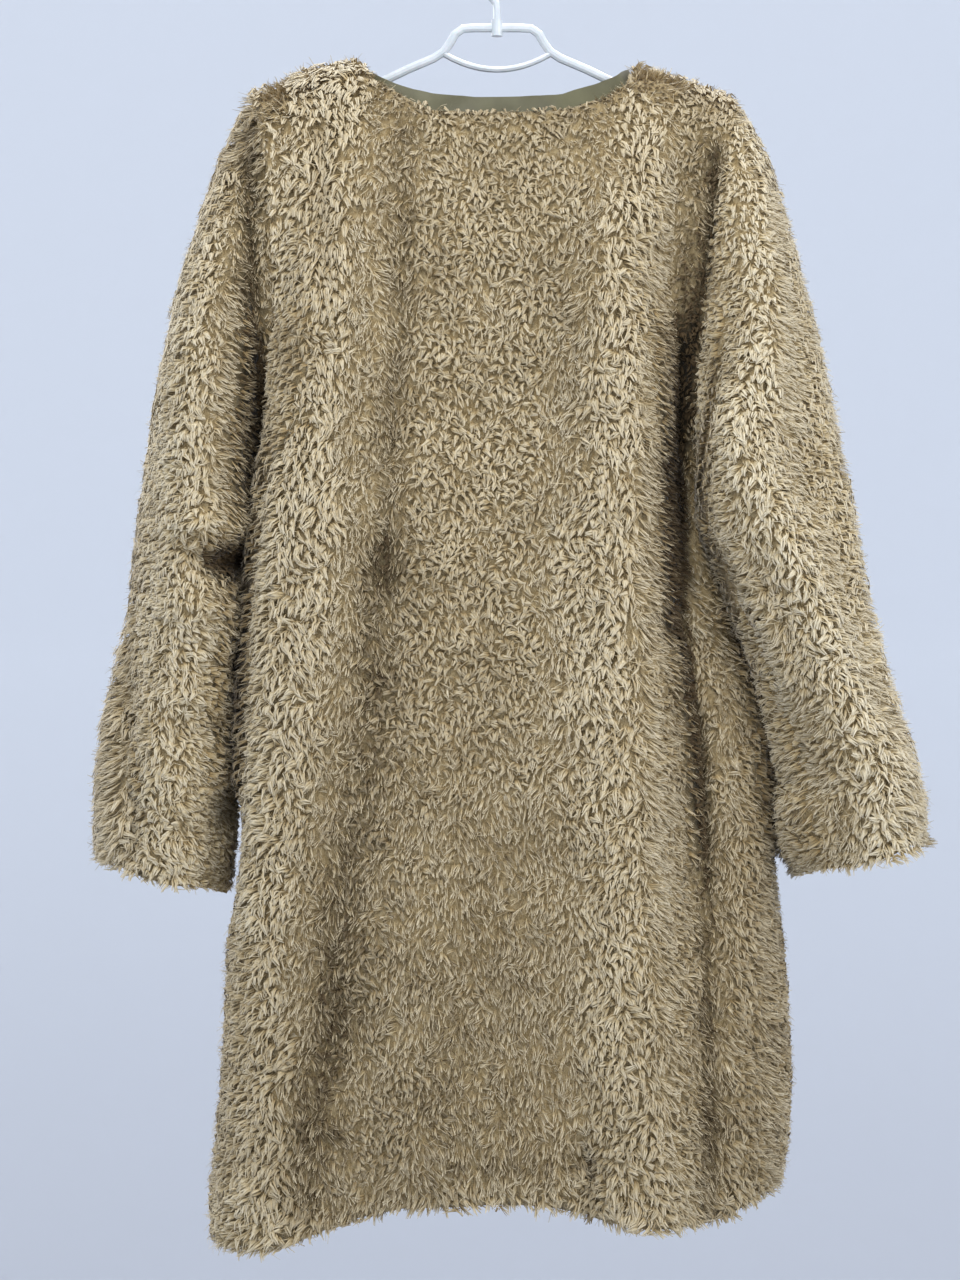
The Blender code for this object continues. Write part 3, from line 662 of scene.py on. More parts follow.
# ---- the pile ----
@dataclass(frozen=True)
class Curl:
    """One kind of curl: how far apart they stand and how each strip of it bends."""

    apart: float  # between curls
    strips: int  # in each curl
    width: float  # of a strip
    profile: tuple[float, ...]  # share of that width at each station
    stations: tuple[float, ...]  # places on the way from root to tip, 0 to 1
    start: Pair  # degrees out of the cloth at the root, least and most
    end: Pair  # the same at the tip
    straight: float  # 0 bends evenly, 1 stays straight for almost half the way
    rise: Pair  # height as a share of the pile's, least and most
    wander: float  # how much its lie strays
    fan: float  # how far its strips spread, as a share of apart
    roll: float  # how far the outer strips roll sideways, in radians
    bend: float  # how far a tip bends sideways
    unity: float  # how much of chance its strips share
    speckle: float  # spread of its tone
    clump: Pair  # size of the clumps, across and down
    parting: float  # how much shorter the pile is between clumps
    tone: float = 0.0  # added to the pile's tone
    shaded: float = 0.85  # how much darker it is between clumps
    lean: float = 0.5  # share of its run that lies before its root

    def opening(self, way: Array) -> Array:
        """How far a curl's strips stand apart, from root to tip."""
        return 0.75 + 0.55 * np.sin(math.pi * way) - 0.40 * way**2

    def path(self, start: Array, end: Array, rise: Array) -> tuple[Array, Array]:
        """Bends each strip from its start angle to its end angle.

        Args:
            start: Angle out of the cloth at the root of each strip, in radians.
            end: Angle at its tip.
            rise: Height of its highest point.

        Returns:
            Run along the cloth and height above it, a row for each strip and a column for each station.
        """
        steps = 24
        way = (np.arange(steps) + 0.5) / steps
        held = 0.45 * self.straight
        bend = ease((way - held) / (1 - held)) if self.straight else way
        angle = start[:, None] + (end - start)[:, None] * bend
        zero = np.zeros((len(start), 1))
        up = np.hstack([zero, np.cumsum(np.sin(angle), axis=1)])
        run = np.hstack([zero, np.cumsum(np.cos(angle), axis=1)])
        scale = (rise / up.max(axis=1))[:, None]
        pick = np.round(np.array(self.stations) * steps).astype(int)
        return run[:, pick] * scale, up[:, pick] * scale


LOCK = Curl(
    apart=0.0042, strips=5, width=0.0015, profile=(0.9, 1.0, 0.45), stations=(0.0, 0.6, 1.0),
    start=(52, 88), end=(-60, -6), straight=0.5, rise=(0.80, 1.12), wander=0.26, fan=1.15, roll=0.7,
    bend=0.0012, unity=0.55, speckle=0.10, clump=(0.0074, 0.0190), parting=0.43, shaded=0.60,
)
STROKE = Curl(
    apart=0.0032, strips=6, width=0.0011, profile=(1.0, 0.45), stations=(0.0, 1.0),
    start=(62, 90), end=(-24, 30), straight=0.0, rise=(0.72, 1.14), wander=0.30, fan=1.3, roll=0.6,
    bend=0.0010, unity=0.30, speckle=0.40, clump=(0.0060, 0.0080), parting=0.72,
    tone=0.12, shaded=1.0,
)
TUFT = Curl(
    apart=0.0034, strips=3, width=0.0017, profile=(0.9, 1.0, 0.6), stations=(0.0, 0.58, 1.0),
    start=(54, 92), end=(-72, -24), straight=0.6, rise=(0.82, 1.06), wander=0.60, fan=1.0, roll=0.8,
    bend=0.0012, unity=0.70, speckle=0.15, clump=(0.0048, 0.0052), parting=0.42,
)
STRAY = Curl(
    apart=0.0082, strips=1, width=0.0006, profile=(1.0, 0.9, 0.5), stations=(0.0, 0.55, 1.0),
    start=(50, 90), end=(0, 60), straight=0.0, rise=(1.00, 1.36), wander=0.9, fan=0.0, roll=0.5,
    bend=0.0030, unity=0.0, speckle=0.16, clump=(0.0060, 0.0105), parting=0.0,
)


@dataclass
class Pile:
    """The pile of a panel: which curls stand where, and how each of them lies."""

    wall: ClothWall
    chunk: float  # 0 tufts to 1 locks
    tone: float  # 0 grey to 1 cream
    seed: int
    pieces: int = 1  # meshes it is shared out to
    rim_depth: float = 0.012  # length of the pile on the cloth's edges
    rim_over: Pair = (0.35, 0.55)  # its lean over an edge, and over one that looks up
    neck_from: float = 0.075  # from here out the neck's edge carries pile
    neck_half: float = 0.113  # as far as here
    neck_low: float = -0.22  # and above this height
    front_edge: float = 0.03  # the front opening lies within this of the middle
    spare: float = 1.7  # points thrown for each one that fits
    mottle: float = 0.22  # how much the kinds mix
    mottle_size: float = 0.030
    lock_from: float = 0.62  # chunk from which locks grow
    stroke_from: float = 0.25  # the same for strokes, with tufts below it
    standing: float = math.radians(70)  # how far zones that stand raise the tips
    root: float = 0.0012  # how deep a curl starts in the undercoat
    swirl_size: float = 0.019
    swirl: float = 0.95  # how much its lie turns from place to place
    aside: Triple = (3.6, 1.2, 0.0)  # how much it falls outwards, along x and y
    fall: Triple = (0.0, 0.0, -0.85)  # and downwards
    clump: float = 0.0016  # how far tips close up to their clump
    whole_from: float = 0.17  # noise from which a clump is whole
    slope_step: float = 0.12  # how far apart that noise is compared
    warp: float = 0.0035  # how crooked the clumps' outlines are
    warp_size: float = 0.018
    reach: float = 0.0012  # how far the curls pass the wall's face
    uneven: tuple[Pair, ...] = ((0.14, 0.012), (0.12, 0.0055))  # share and size of its waves
    squeezed_painted_shade: float = 0.22  # painted shade: how much darker the curls are made between sleeve and body
    turn: float = 0.25  # how far a curl turns off its lie
    rounding: float = 0.12  # how much lower a curl's outer strips are
    shift: Pair = (0.0005, 0.0004)  # chance moves of a strip, along and across
    roll: float = 0.22  # chance roll of a strip, in radians
    painted_falloff_from: float = 0.55  # depth below which the tone drops, painted fall-off of the light from above
    painted_falloff_over: float = 0.45  # over this much more depth
    painted_falloff: float = 0.12  # by this much in all
    patch: float = 0.14  # how much the tone changes from patch to patch
    patch_size: float = 0.045

    def __post_init__(self) -> None:
        """Measures the triangles that carry pile: the pile side, and the edges next to it."""
        self.rng = np.random.default_rng(self.seed)
        wall = self.wall
        outward = {v: self.pile_normal(v) for v in wall.mesh.verts if v[wall.pile] > 0.99}
        corners, roots, normals, shades, rims = [], [], [], [], []
        for face in wall.mesh.faces:
            places = np.array([v.co for v in face.verts])
            known = [outward[v] for v in face.verts if v in outward]
            if wall.is_piled(face):
                feet = np.array([v[wall.foot] for v in face.verts])
                lean = soft = np.array(known)
            elif known and self.is_rim(face):
                side = sum(known, Vector()).normalized()
                over = self.rim_over[face.normal.z >= 0.3]
                lean = np.array([side + face.normal * over] * len(face.verts))
                soft = np.array([side + face.normal * 0.2] * len(face.verts))
                feet = places - unit(lean) * self.rim_depth
            else:
                continue
            corners.append(places)
            roots.append(feet)
            normals.append(lean)
            shades.append(soft)
            rims.append(not wall.is_piled(face))
        self.rims = np.array(rims)
        self.corners, self.roots = np.array(corners), np.array(roots)
        self.normals, self.shades = np.array(normals), np.array(shades)
        edge_a = self.corners[:, 1] - self.corners[:, 0]
        edge_b = self.corners[:, 2] - self.corners[:, 0]
        self.areas = np.linalg.norm(np.cross(edge_a, edge_b), axis=1) / 2

    def is_rim(self, face: Face) -> bool:
        """Whether a face between the two sides is at the hem, a cuff, the front opening or the neck."""
        place = face.calc_center_median()
        hem = face.normal.z < -0.4
        opening = abs(place.x) < self.front_edge and abs(face.normal.x) > 0.6
        neck = self.neck_from < abs(place.x) < self.neck_half and place.z > self.neck_low
        return hem or opening or neck

    def pile_normal(self, vert: bmesh.types.BMVert) -> Vector:
        """A vertex's normal from the faces of the pile side alone."""
        faces = [f for f in vert.link_faces if self.wall.is_piled(f)]
        return sum((f.normal * f.calc_area() for f in faces), Vector()).normalized()

    def scatter(self, apart: float) -> dict[str, Array]:
        """Throws points evenly over the pile side.

        Args:
            apart: The least distance wanted between the points that will be kept.

        Returns:
            Arrays with a row for each point: place, foot, normal, the normal for shading, and whether it
            is on an edge of the cloth.
        """
        count = int(self.areas.sum() / apart**2 * self.spare)
        pick = self.rng.choice(len(self.areas), count, p=self.areas / self.areas.sum())
        first, second = self.rng.random(count), self.rng.random(count)
        flip = first + second > 1
        first[flip], second[flip] = 1 - first[flip], 1 - second[flip]
        weights = np.stack([1 - first - second, first, second], axis=1)[:, :, None]
        return {
            "place": (self.corners[pick] * weights).sum(axis=1),
            "foot": (self.roots[pick] * weights).sum(axis=1),
            "normal": unit((self.normals[pick] * weights).sum(axis=1)),
            "shade": unit((self.shades[pick] * weights).sum(axis=1)),
            "rim": self.rims[pick],
        }

    def sites(self) -> list[tuple[Curl, dict[str, Array]]]:
        """Gives each place of the pile side its kind of curl.

        Returns:
            Each kind with its sites.
        """
        points = self.scatter(STROKE.apart)
        place = points["place"]
        rim = points["rim"]
        mottle = self.mottle * noise_at(place + 3.0, self.mottle_size)
        chunk = self.chunk + self.wall.field(place, "chunk") + mottle
        chunk = chunk + self.rng.uniform(-0.10, 0.10, len(place))
        kinds = (LOCK, STROKE, TUFT)
        kind = np.where((chunk > self.stroke_from) | rim, 1, 2)
        kind[(chunk > self.lock_from) & ~rim] = 0
        apart = np.array([k.apart for k in kinds])[kind] * self.rng.uniform(0.88, 1.12, len(place))
        kept = thin_out(place, apart)
        found = []
        for number, curl in enumerate(kinds):
            chosen = kept[kind[kept] == number]
            if len(chosen):
                found.append((curl, {key: rows[chosen] for key, rows in points.items()}))
        found.append((STRAY, self.scatter(STRAY.apart)))
        return found

    def comb(self, place: Array, normal: Array, wander: float) -> Array:
        """Which way the pile lies.

        Args:
            place: The sites.
            normal: The cloth's normals there.
            wander: How much each curl strays.

        Returns:
            Unit vectors along the cloth.
        """
        swirl = vectors_at(place, self.swirl_size) * self.swirl
        aside = normal * np.abs(normal) * np.array(self.aside)
        way = aside + np.array(self.fall) + swirl + self.rng.normal(0, wander, place.shape)
        return unit(way - normal * (way * normal).sum(axis=1, keepdims=True))

    def grow(self) -> list[Piece]:
        """Grows the panel's pile and returns its pieces."""
        grown = [self.strips(curl, sites) for curl, sites in self.sites()]
        if self.pieces == 1:
            return [join_strips(self.wall.node + "_pile", grown)]
        made = []
        for side in (-1, 1):
            batches = []
            for batch in grown:
                mine = batch["points"][:, 0, 0, 0] * side > 0
                batches.append({k: rows if k == "stations" else rows[mine] for k, rows in batch.items()})
            made.append(join_strips(f"{self.wall.node}_pile_{len(made)}", batches))
        return made

    def strips(self, curl: Curl, sites: dict[str, Array]) -> dict[str, Array]:
        """Shapes the strips of one kind of curl.

        Args:
            curl: The kind.
            sites: Where they stand.

        Returns:
            Points and normals by strip, station and side; each strip's tone, the part of the tone's
            column that it shows, how far up the root-to-tip colour it reaches (less in the partings between
            clumps, as painted shade), and the stations.
        """
        rng = self.rng
        place, foot, normal, shade = (sites[key] for key in ("place", "foot", "normal", "shade"))
        count = len(place)
        lead = self.comb(place, normal, curl.wander)
        depth = np.linalg.norm(place - foot, axis=1)
        base = foot + (place - foot) * self.wall.shares(place, depth)[:, None] - normal * self.root
        rise = depth * (1 - self.wall.share) + self.root + self.reach + self.wall.field(place, "longer")
        squeezed = self.wall.squeezed(place, depth)
        (broad, broad_size), (fine, fine_size) = self.uneven
        rise = rise * (1 + (broad * noise_at(place, broad_size) + fine * noise_at(place + 5.0, fine_size)))
        # painted shade: the tone drops between sleeve and body
        tone = self.tone_at(place) - self.squeezed_painted_shade * squeezed
        stand = self.wall.field(place, "stand")

        many = curl.strips
        total = count * many
        spread = np.tile((np.arange(many) + 0.5) / many * 2 - 1 if many > 1 else np.zeros(1), count)
        rows = (place, normal, shade, lead, base)
        place, normal, shade, lead, base = (np.repeat(row, many, axis=0) for row in rows)
        rise, tone, stand = np.repeat(rise, many), np.repeat(tone, many), np.repeat(stand, many)
        turned = self.between(curl, count, (-self.turn, self.turn))
        lead = unit(lead + np.cross(normal, lead) * turned[:, None])
        side = np.cross(normal, lead)
        gather = spread * curl.apart * 0.5 * curl.fan
        whole, inward = self.parting(place + side * gather[:, None], curl)
        pull = inward - normal * (inward * normal).sum(axis=1, keepdims=True)
        rise = rise * (1 - curl.parting * (1 - whole))
        rise = rise * self.between(curl, count, curl.rise) * (1 - self.rounding * spread**2)
        start_angle = np.radians(self.between(curl, count, curl.start))
        end_angle = np.radians(self.between(curl, count, curl.end)) + self.standing * stand
        run, up = curl.path(start_angle, end_angle, rise)
        way = np.array(curl.stations)
        shift_along, shift_across = self.shift
        across = gather[:, None] * curl.opening(way)
        across = across + rng.normal(0, shift_across, (total, len(way))) * np.minimum(way * 4, 1)
        across = across + self.between(curl, count, (-1.7 * curl.bend, 1.7 * curl.bend))[:, None] * way**2
        start = rng.normal(0, shift_along, total)[:, None]
        line = (
            base[:, None]
            + normal[:, None] * up[..., None]
            + lead[:, None] * (run - curl.lean * run[:, -1:] + start)[..., None]
            + side[:, None] * across[..., None]
            + pull[:, None] * (way**1.5)[:, None]
        )
        roll = spread * curl.roll + rng.normal(0, self.roll, total)
        flat = side * np.cos(roll)[:, None] - normal * np.sin(roll)[:, None]
        half = (curl.width * self.between(curl, count, (0.82, 1.18)) / 2)[:, None] * np.array(curl.profile)
        edge = flat[:, None] * half[..., None]
        points = np.stack([line + edge, line - edge], axis=2)
        along = np.gradient(line, axis=1)
        face = unit(np.cross(along, np.broadcast_to(flat[:, None], along.shape)))
        face = face * np.sign((face * normal[:, None]).sum(axis=2, keepdims=True) + 1e-6)
        soft = 0.75 * face + 0.40 * shade[:, None]
        normals = unit(np.stack([soft + 0.40 * flat[:, None], soft - 0.40 * flat[:, None]], axis=2))
        tone = tone + curl.tone + self.between(curl, count, (-curl.speckle, curl.speckle))
        part = np.zeros((total, 2)) + TONE_SPAN
        if curl.unity > 0.5:
            part = 0.5 + (spread[:, None] + (part - 0.5) * 2 / many) / 2
        # painted shade: strips in the partings between clumps stop lower on the dark root colour
        grown = 1 - curl.shaded * curl.parting * (1 - whole)
        return {
            "points": points, "normals": normals, "tone": tone, "part": part, "grown": grown, "stations": way,
        }

    def parting(self, points: Array, curl: Curl) -> tuple[Array, Array]:
        """Where the pile parts into clumps.

        Args:
            points: Places on the cloth.
            curl: The kind, which gives the clumps' size.

        Returns:
            0 on the lines between clumps to 1 on the clumps, and the move towards the clump.
        """
        across, down = curl.clump
        warped = points + self.warp * vectors_at(points, self.warp_size)
        scaled = warped / np.array([across, across, down])
        height = np.abs(noise_at(scaled, 1.0))
        beside = [np.abs(noise_at(scaled + self.slope_step * axis, 1.0)) for axis in np.eye(3)]
        slope = np.stack([there - height for there in beside], axis=1)
        whole = ease(height / self.whole_from)
        return whole, unit(slope + 1e-9) * (self.clump * (1 - whole))[:, None]

    def between(self, curl: Curl, count: int, limits: Pair) -> Array:
        """Random values, partly shared by the strips of a curl.

        Args:
            curl: The kind, which says how much they share.
            count: How many curls.
            limits: The lowest and the highest value.

        Returns:
            One value for each strip.
        """
        whole = np.repeat(self.rng.random(count), curl.strips)
        own = self.rng.random(count * curl.strips)
        return limits[0] + (limits[1] - limits[0]) * (curl.unity * whole + (1 - curl.unity) * own)

    def tone_at(self, points: Array) -> Array:
        """Tone of the curls, 0 grey to 1 cream, with the zones' painted light and shade and painted fall-off
        of the light lower down.
        """
        # painted fall-off of the light lower down the coat
        low = ease((-points[:, 2] - self.painted_falloff_from) / self.painted_falloff_over)
        patches = noise_at(points + 7.0, self.patch_size)
        return self.tone + self.wall.field(points, "tone") - self.painted_falloff * low + self.patch * patches


def thin_out(points: Array, apart: Array) -> Array:
    """Keeps points that have no kept point closer than their own distance.

    Args:
        points: Candidates, in the order in which they are tried.
        apart: The least distance at each.

    Returns:
        Indices of the points kept.
    """
    cell = float(apart.max())
    grid: dict[tuple[int, int, int], list[int]] = {}
    kept = []
    cells = np.floor(points / cell).astype(int).tolist()
    flat = points.tolist()
    limits = (apart**2).tolist()
    near = [(i, j, k) for i in (-1, 0, 1) for j in (-1, 0, 1) for k in (-1, 0, 1)]
    for index, (x, y, z) in enumerate(flat):
        a, b, c = cells[index]
        limit = limits[index]
        clear = True
        for i, j, k in near:
            for other in grid.get((a + i, b + j, c + k), ()):
                u, v, w = flat[other]
                if (x - u) ** 2 + (y - v) ** 2 + (z - w) ** 2 < limit:
                    clear = False
                    break
            if not clear:
                break
        if clear:
            grid.setdefault((a, b, c), []).append(index)
            kept.append(index)
    return np.array(kept)


def join_strips(name: str, batches: list[dict[str, Array]]) -> Piece:
    """Copies a flat strip of quads to every place and joins the copies.

    Args:
        name: The object's name.
        batches: What Pile.strips gives for each kind of curl.

    Returns:
        The object.
    """
    coords, normals, uvs, corners = [], [], [], []
    first = 0
    for batch in batches:
        rows = len(batch["stations"])
        quads = strip_quads(rows - 1)
        total, each = len(batch["points"]), rows * 2
        corners.append((quads[None] + (first + np.arange(total) * each)[:, None, None]).reshape(-1))
        first += total * each
        coords.append(batch["points"].reshape(-1, 3))
        normals.append(batch["normals"].reshape(-1, 3))
        window = np.floor(np.clip(batch["tone"], 0, 0.999) * TONES)
        tone = (window[:, None] + np.tile(batch["part"], (1, rows))) / TONES
        # painted shade: strips in the partings stop lower on the dark root colour
        up = UV_MARGIN + (1 - 2 * UV_MARGIN) * np.repeat(batch["stations"], 2) * batch["grown"][:, None]
        uvs.append(np.stack([tone, up], axis=2).reshape(-1, 2))
    loops = np.concatenate(corners).astype(np.int32)
    data = bpy.data.meshes.new(name)
    data.vertices.add(first)
    data.vertices.foreach_set("co", np.concatenate(coords).reshape(-1).astype(np.float32))
    data.loops.add(len(loops))
    data.loops.foreach_set("vertex_index", loops)
    data.polygons.add(len(loops) // 4)
    data.polygons.foreach_set("loop_start", np.arange(0, len(loops), 4, dtype=np.int32))
    data.update(calc_edges=True)
    layer = data.uv_layers.new(name=UV_MAP)
    layer.uv.foreach_set("vector", np.concatenate(uvs)[loops].reshape(-1).astype(np.float32))
    data.shade_smooth()
    data.normals_split_custom_set_from_vertices(np.concatenate(normals))
    log.info("%s: %s strips, %d triangles", name, [len(b["points"]) for b in batches], len(loops) // 2)
    return add_object(name, data)


def strip_quads(count: int) -> Array:
    """Corners of a strip of quads, its vertices counted row by row from the root."""
    strip = bmesh.new()
    bmesh.ops.create_grid(strip, x_segments=1, y_segments=count, size=1.0)
    ranked = sorted(strip.verts, key=lambda v: (round(v.co.y, 4), round(v.co.x, 4)))
    rank = {vert: number for number, vert in enumerate(ranked)}
    quads = np.array([[rank[v] for v in f.verts] for f in strip.faces])
    strip.free()
    return quads


# ---- the coat ----
ABOVE = ("hanger_frame",)  # what a body panel rests on
BESIDE = ("back",)  # and a sleeve


class Hold(Enum):
    """How a piece of cloth is held."""

    HUNG = "hung"


@dataclass
class FurPanel:
    """A cut piece of fur fabric: its cloth, its pile, and what it was cut from."""

    node: str
    axis: Pair
    sharp: float  # in degrees, for ClothWall.sharp
    flat: Pair
    area: float
    zones: tuple[Zone, ...]
    chunk: float
    tone: float
    seed: int
    rests_on: tuple[str, ...] = ABOVE
    pieces: int = 1

    def build(self, pile: Material, undercoat: Material, lining: Material) -> None:
        """Builds the panel's pieces.

        Args:
            pile: Finish of the curls.
            undercoat: Finish under them.
            lining: Finish of the inside.
        """
        wall = ClothWall(self.node, self.axis, math.radians(self.sharp), self.zones)
        cloth = Shell(wall).build()
        cloth.data.materials.append(undercoat)
        cloth.data.materials.append(lining)
        furs = Pile(wall, self.chunk, self.tone, self.seed, self.pieces).grow()
        for fur in furs:
            fur.data.materials.append(pile)
        wall.mesh.free()
        for piece in (cloth, *furs):
            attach(piece, BODY)
        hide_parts(self.node)


# Columns: half width, lift, tone, chunk, longer, stand and sink as far as a row needs them, then the line.
# A low tone paints shade into creases, valleys and the crevices between sleeve and body, a high one
# paints light on crests and lit edges; the rest of the tone is the fur's own.
SHOULDER_ZONES = zones(
    0,
    (0.035, 0, 0, 0.25, 0.0010, ((-0.160, -0.10), (0.160, -0.10))),
    (0.030, 0, 0.15, 0, 0.0018, 0.4, ((0.110, -0.09), (0.200, -0.11))),
    (0.030, 0, 0.15, 0, 0.0018, 0.4, ((-0.110, -0.09), (-0.200, -0.11))),
)
RIGHT_ARMHOLE_ZONES = zones(
    1,
    (0.007, -0.006, -0.40, ((-0.170, -0.17), (-0.1675, -0.21), (-0.161, -0.275), (-0.144, -0.343))),
)
BACK_ZONES = zones(
    1,
    (0.040, 0, 0.22, 0.80, 0.0015,
     ((0.128, -0.10), (0.135, -0.28), (0.150, -0.45), (0.160, -0.60), (0.186, -0.76), (0.194, -1.05))),
    (0.009, -0.005, -0.25, ((0.137, -0.16), (0.131, -0.27))),
    (0.012, -0.003, -0.26, 0.30, ((0.073, -0.16), (0.075, -0.31), (0.081, -0.40), (0.086, -0.50))),
    (0.024, -0.004, -0.30, 0.10,
     ((0.092, -0.49), (0.096, -0.60), (0.120, -0.73), (0.126, -0.84), (0.150, -0.98))),
    (0.036, 0.002, 0.22, 0.80, 0.0010,
     ((-0.113, -0.16), (-0.099, -0.28), (-0.081, -0.43), (-0.080, -0.60), (-0.091, -0.76), (-0.101, -1.02))),
    (0.015, -0.001, -0.18, 0.20,
     ((-0.160, -0.17), (-0.150, -0.25), (-0.135, -0.35), (-0.131, -0.46), (-0.138, -0.54), (-0.156, -0.63),
      (-0.163, -0.76), (-0.165, -1.04))),
    (0.010, -0.009, -0.62, ((-0.141, -0.34), (-0.1375, -0.40), (-0.1365, -0.47), (-0.138, -0.54))),
    (0.010, 0.007, -0.02, ((-0.150, -0.22), (-0.143, -0.31))),
    (0.015, 0, -0.16, -0.30, ((-0.148, -0.14), (-0.148, -0.23), (-0.140, -0.31))),
    (0.010, 0.003, 0.34, 0.20, ((-0.152, -0.40), (-0.157, -0.54))),
    (0.012, 0, 0, 0, -0.0035, ((0.203, -0.697), (0.207, -0.760))),
    (0.005, -0.005, -0.22, ((-0.138, -0.53), (-0.158, -0.64), (-0.164, -0.96))),
    (0.007, -0.003, -0.20, ((-0.138, -0.54), (-0.152, -0.62), (-0.158, -0.70))),
    (0.007, -0.004, -0.50, ((-0.186, -0.54), (-0.212, -0.60), (-0.219, -0.69))),
    (0.006, -0.005, -0.60, ((0.192, -0.45), (0.196, -0.60), (0.204, -0.70))),
    (0.018, 0.002, -0.07, 0.70,
     ((-0.178, -0.40), (-0.190, -0.52), (-0.198, -0.64), (-0.196, -0.80), (-0.194, -1.02))),
    (0.085, 0, -0.06, 0.34, ((0.010, -0.72), (0.015, -1.02))),
    (0.045, 0, 0.08, ((0.010, -0.24), (0.000, -0.45))),
    (0.012, 0, 0.08, 0.25, ((-0.045, -0.46), (-0.048, -0.60))),
    (0.007, -0.006, -0.20, ((0.030, -0.952), (-0.066, -0.950))),
    (0.012, 0.004, 0.12, ((0.030, -0.975), (-0.066, -0.975))),
    (0.006, -0.008, -0.35, ((-0.071, -0.945), (-0.072, -1.01))),
    (0.045, 0, 0.12, 0.30, 0.0010, ((-0.250, -1.00), (0.250, -1.02))),
    (0.028, 0, -0.14, ((-0.075, -0.13), (0.065, -0.13))),
    (0.024, 0, 0, 0, 0, 0.45, 0.0070, ((-0.050, -0.125), (0.045, -0.125))),
    (0.016, 0, 0, 0, -0.0015, 0.2, 0.0090, ((-0.080, -0.113), (-0.098, -0.106))),
    (0.013, 0.006, 0.22, 0.2, 0.001, 0.2,
     ((0.177, -0.15), (0.174, -0.34), (0.178, -0.48), (0.188, -0.60), (0.196, -0.76))),
) + SHOULDER_ZONES + RIGHT_ARMHOLE_ZONES
FRONT_ZONES = zones(
    -1,
    (0.040, 0, 0.22, 0.75, 0.0010, ((0.118, -0.10), (0.126, -0.50), (0.140, -0.80), (0.146, -1.04))),
    (0.038, 0, 0.22, 0.75, 0.0010, ((-0.116, -0.10), (-0.122, -0.45), (-0.138, -0.75), (-0.150, -1.04))),
    (0.018, -0.003, -0.26, 0.10, ((0.064, -0.26), (0.060, -0.60), (0.066, -1.02))),
    (0.018, -0.003, -0.26, 0.10, ((-0.062, -0.30), (-0.056, -0.55), (-0.070, -1.02))),
    (0.007, -0.006, -0.25, ((0.100, -0.90), (0.088, -1.03))),
    (0.008, -0.006, -0.25, ((-0.096, -0.84), (-0.104, -1.03))),
    (0.005, -0.004, -0.50, 0, -0.0015, ((0.001, -0.20), (0.001, -1.04))),
    (0.018, 0, 0.10, 0.60, ((0.030, -0.22), (0.022, -1.03))),
    (0.018, 0, 0.10, 0.60, ((-0.030, -0.22), (-0.022, -1.03))),
    (0.016, 0, -0.22, 0.30, ((0.188, -0.40), (0.180, -0.70), (0.186, -1.02))),
    (0.016, 0, -0.22, 0.30, ((-0.184, -0.40), (-0.176, -0.72), (-0.184, -1.02))),
    (0.045, 0, 0.02, 0.30, 0.0010, ((-0.250, -1.00), (0.250, -1.02))),
) + SHOULDER_ZONES
LEFT_ZONES = zones(
    1,
    (0.030, 0, 0.20, 0.30,
     ((0.223, -0.19), (0.242, -0.28), (0.252, -0.41), (0.262, -0.49), (0.258, -0.60), (0.266, -0.78))),
    (0.022, -0.004, -0.26, -0.20, ((0.200, -0.18), (0.198, -0.44))),
    (0.008, -0.010, -0.45, ((0.193, -0.15), (0.188, -0.30), (0.188, -0.44))),
    (0.012, -0.028, -0.80, ((0.180, -0.492), (0.213, -0.488))),
    (0.011, -0.020, -0.70, ((0.184, -0.503), (0.194, -0.522))),
    (0.014, 0.011, 0.12, ((0.190, -0.458), (0.232, -0.466))),
    (0.015, 0.007, 0.05, ((0.212, -0.522), (0.240, -0.526))),
    (0.006, -0.006, -0.45, ((0.192, -0.51), (0.196, -0.58))),
    (0.010, -0.012, -0.45, ((0.196, -0.545), (0.208, -0.570))),
    (0.010, -0.020, -0.80, ((0.201, -0.63), (0.203, -0.685))),
    (0.010, -0.005, -0.14, ((0.220, -0.492), (0.246, -0.480))),
    (0.007, -0.014, -0.34, ((0.280, -0.41), (0.288, -0.50), (0.287, -0.60), (0.280, -0.71))),
    (0.012, 0.004, -0.06, ((0.304, -0.50), (0.308, -0.60), (0.306, -0.72))),
    (0.012, -0.006, -0.20, ((0.200, -0.60), (0.240, -0.624))),
    (0.010, 0, 0.15, 0, -0.0015, ((0.212, -0.697), (0.213, -0.760))),
    (0.014, -0.004, -0.10, ((0.196, -0.69), (0.250, -0.700))),
) + zones(
    -1,
    (0.030, 0, 0.18, 0.30, ((0.226, -0.16), (0.246, -0.32), (0.262, -0.50), (0.270, -0.78))),
    (0.010, -0.009, -0.28, ((0.196, -0.47), (0.240, -0.490))),
    (0.012, -0.006, -0.18, ((0.200, -0.56), (0.262, -0.60))),
    (0.010, -0.006, -0.14, ((0.288, -0.40), (0.290, -0.68))),
) + zones(
    0,
    (0.024, 0, 0, 0, 0.0035, 0.5, ((0.215, -0.11), (0.262, -0.24), (0.292, -0.40), (0.325, -0.80))),
)
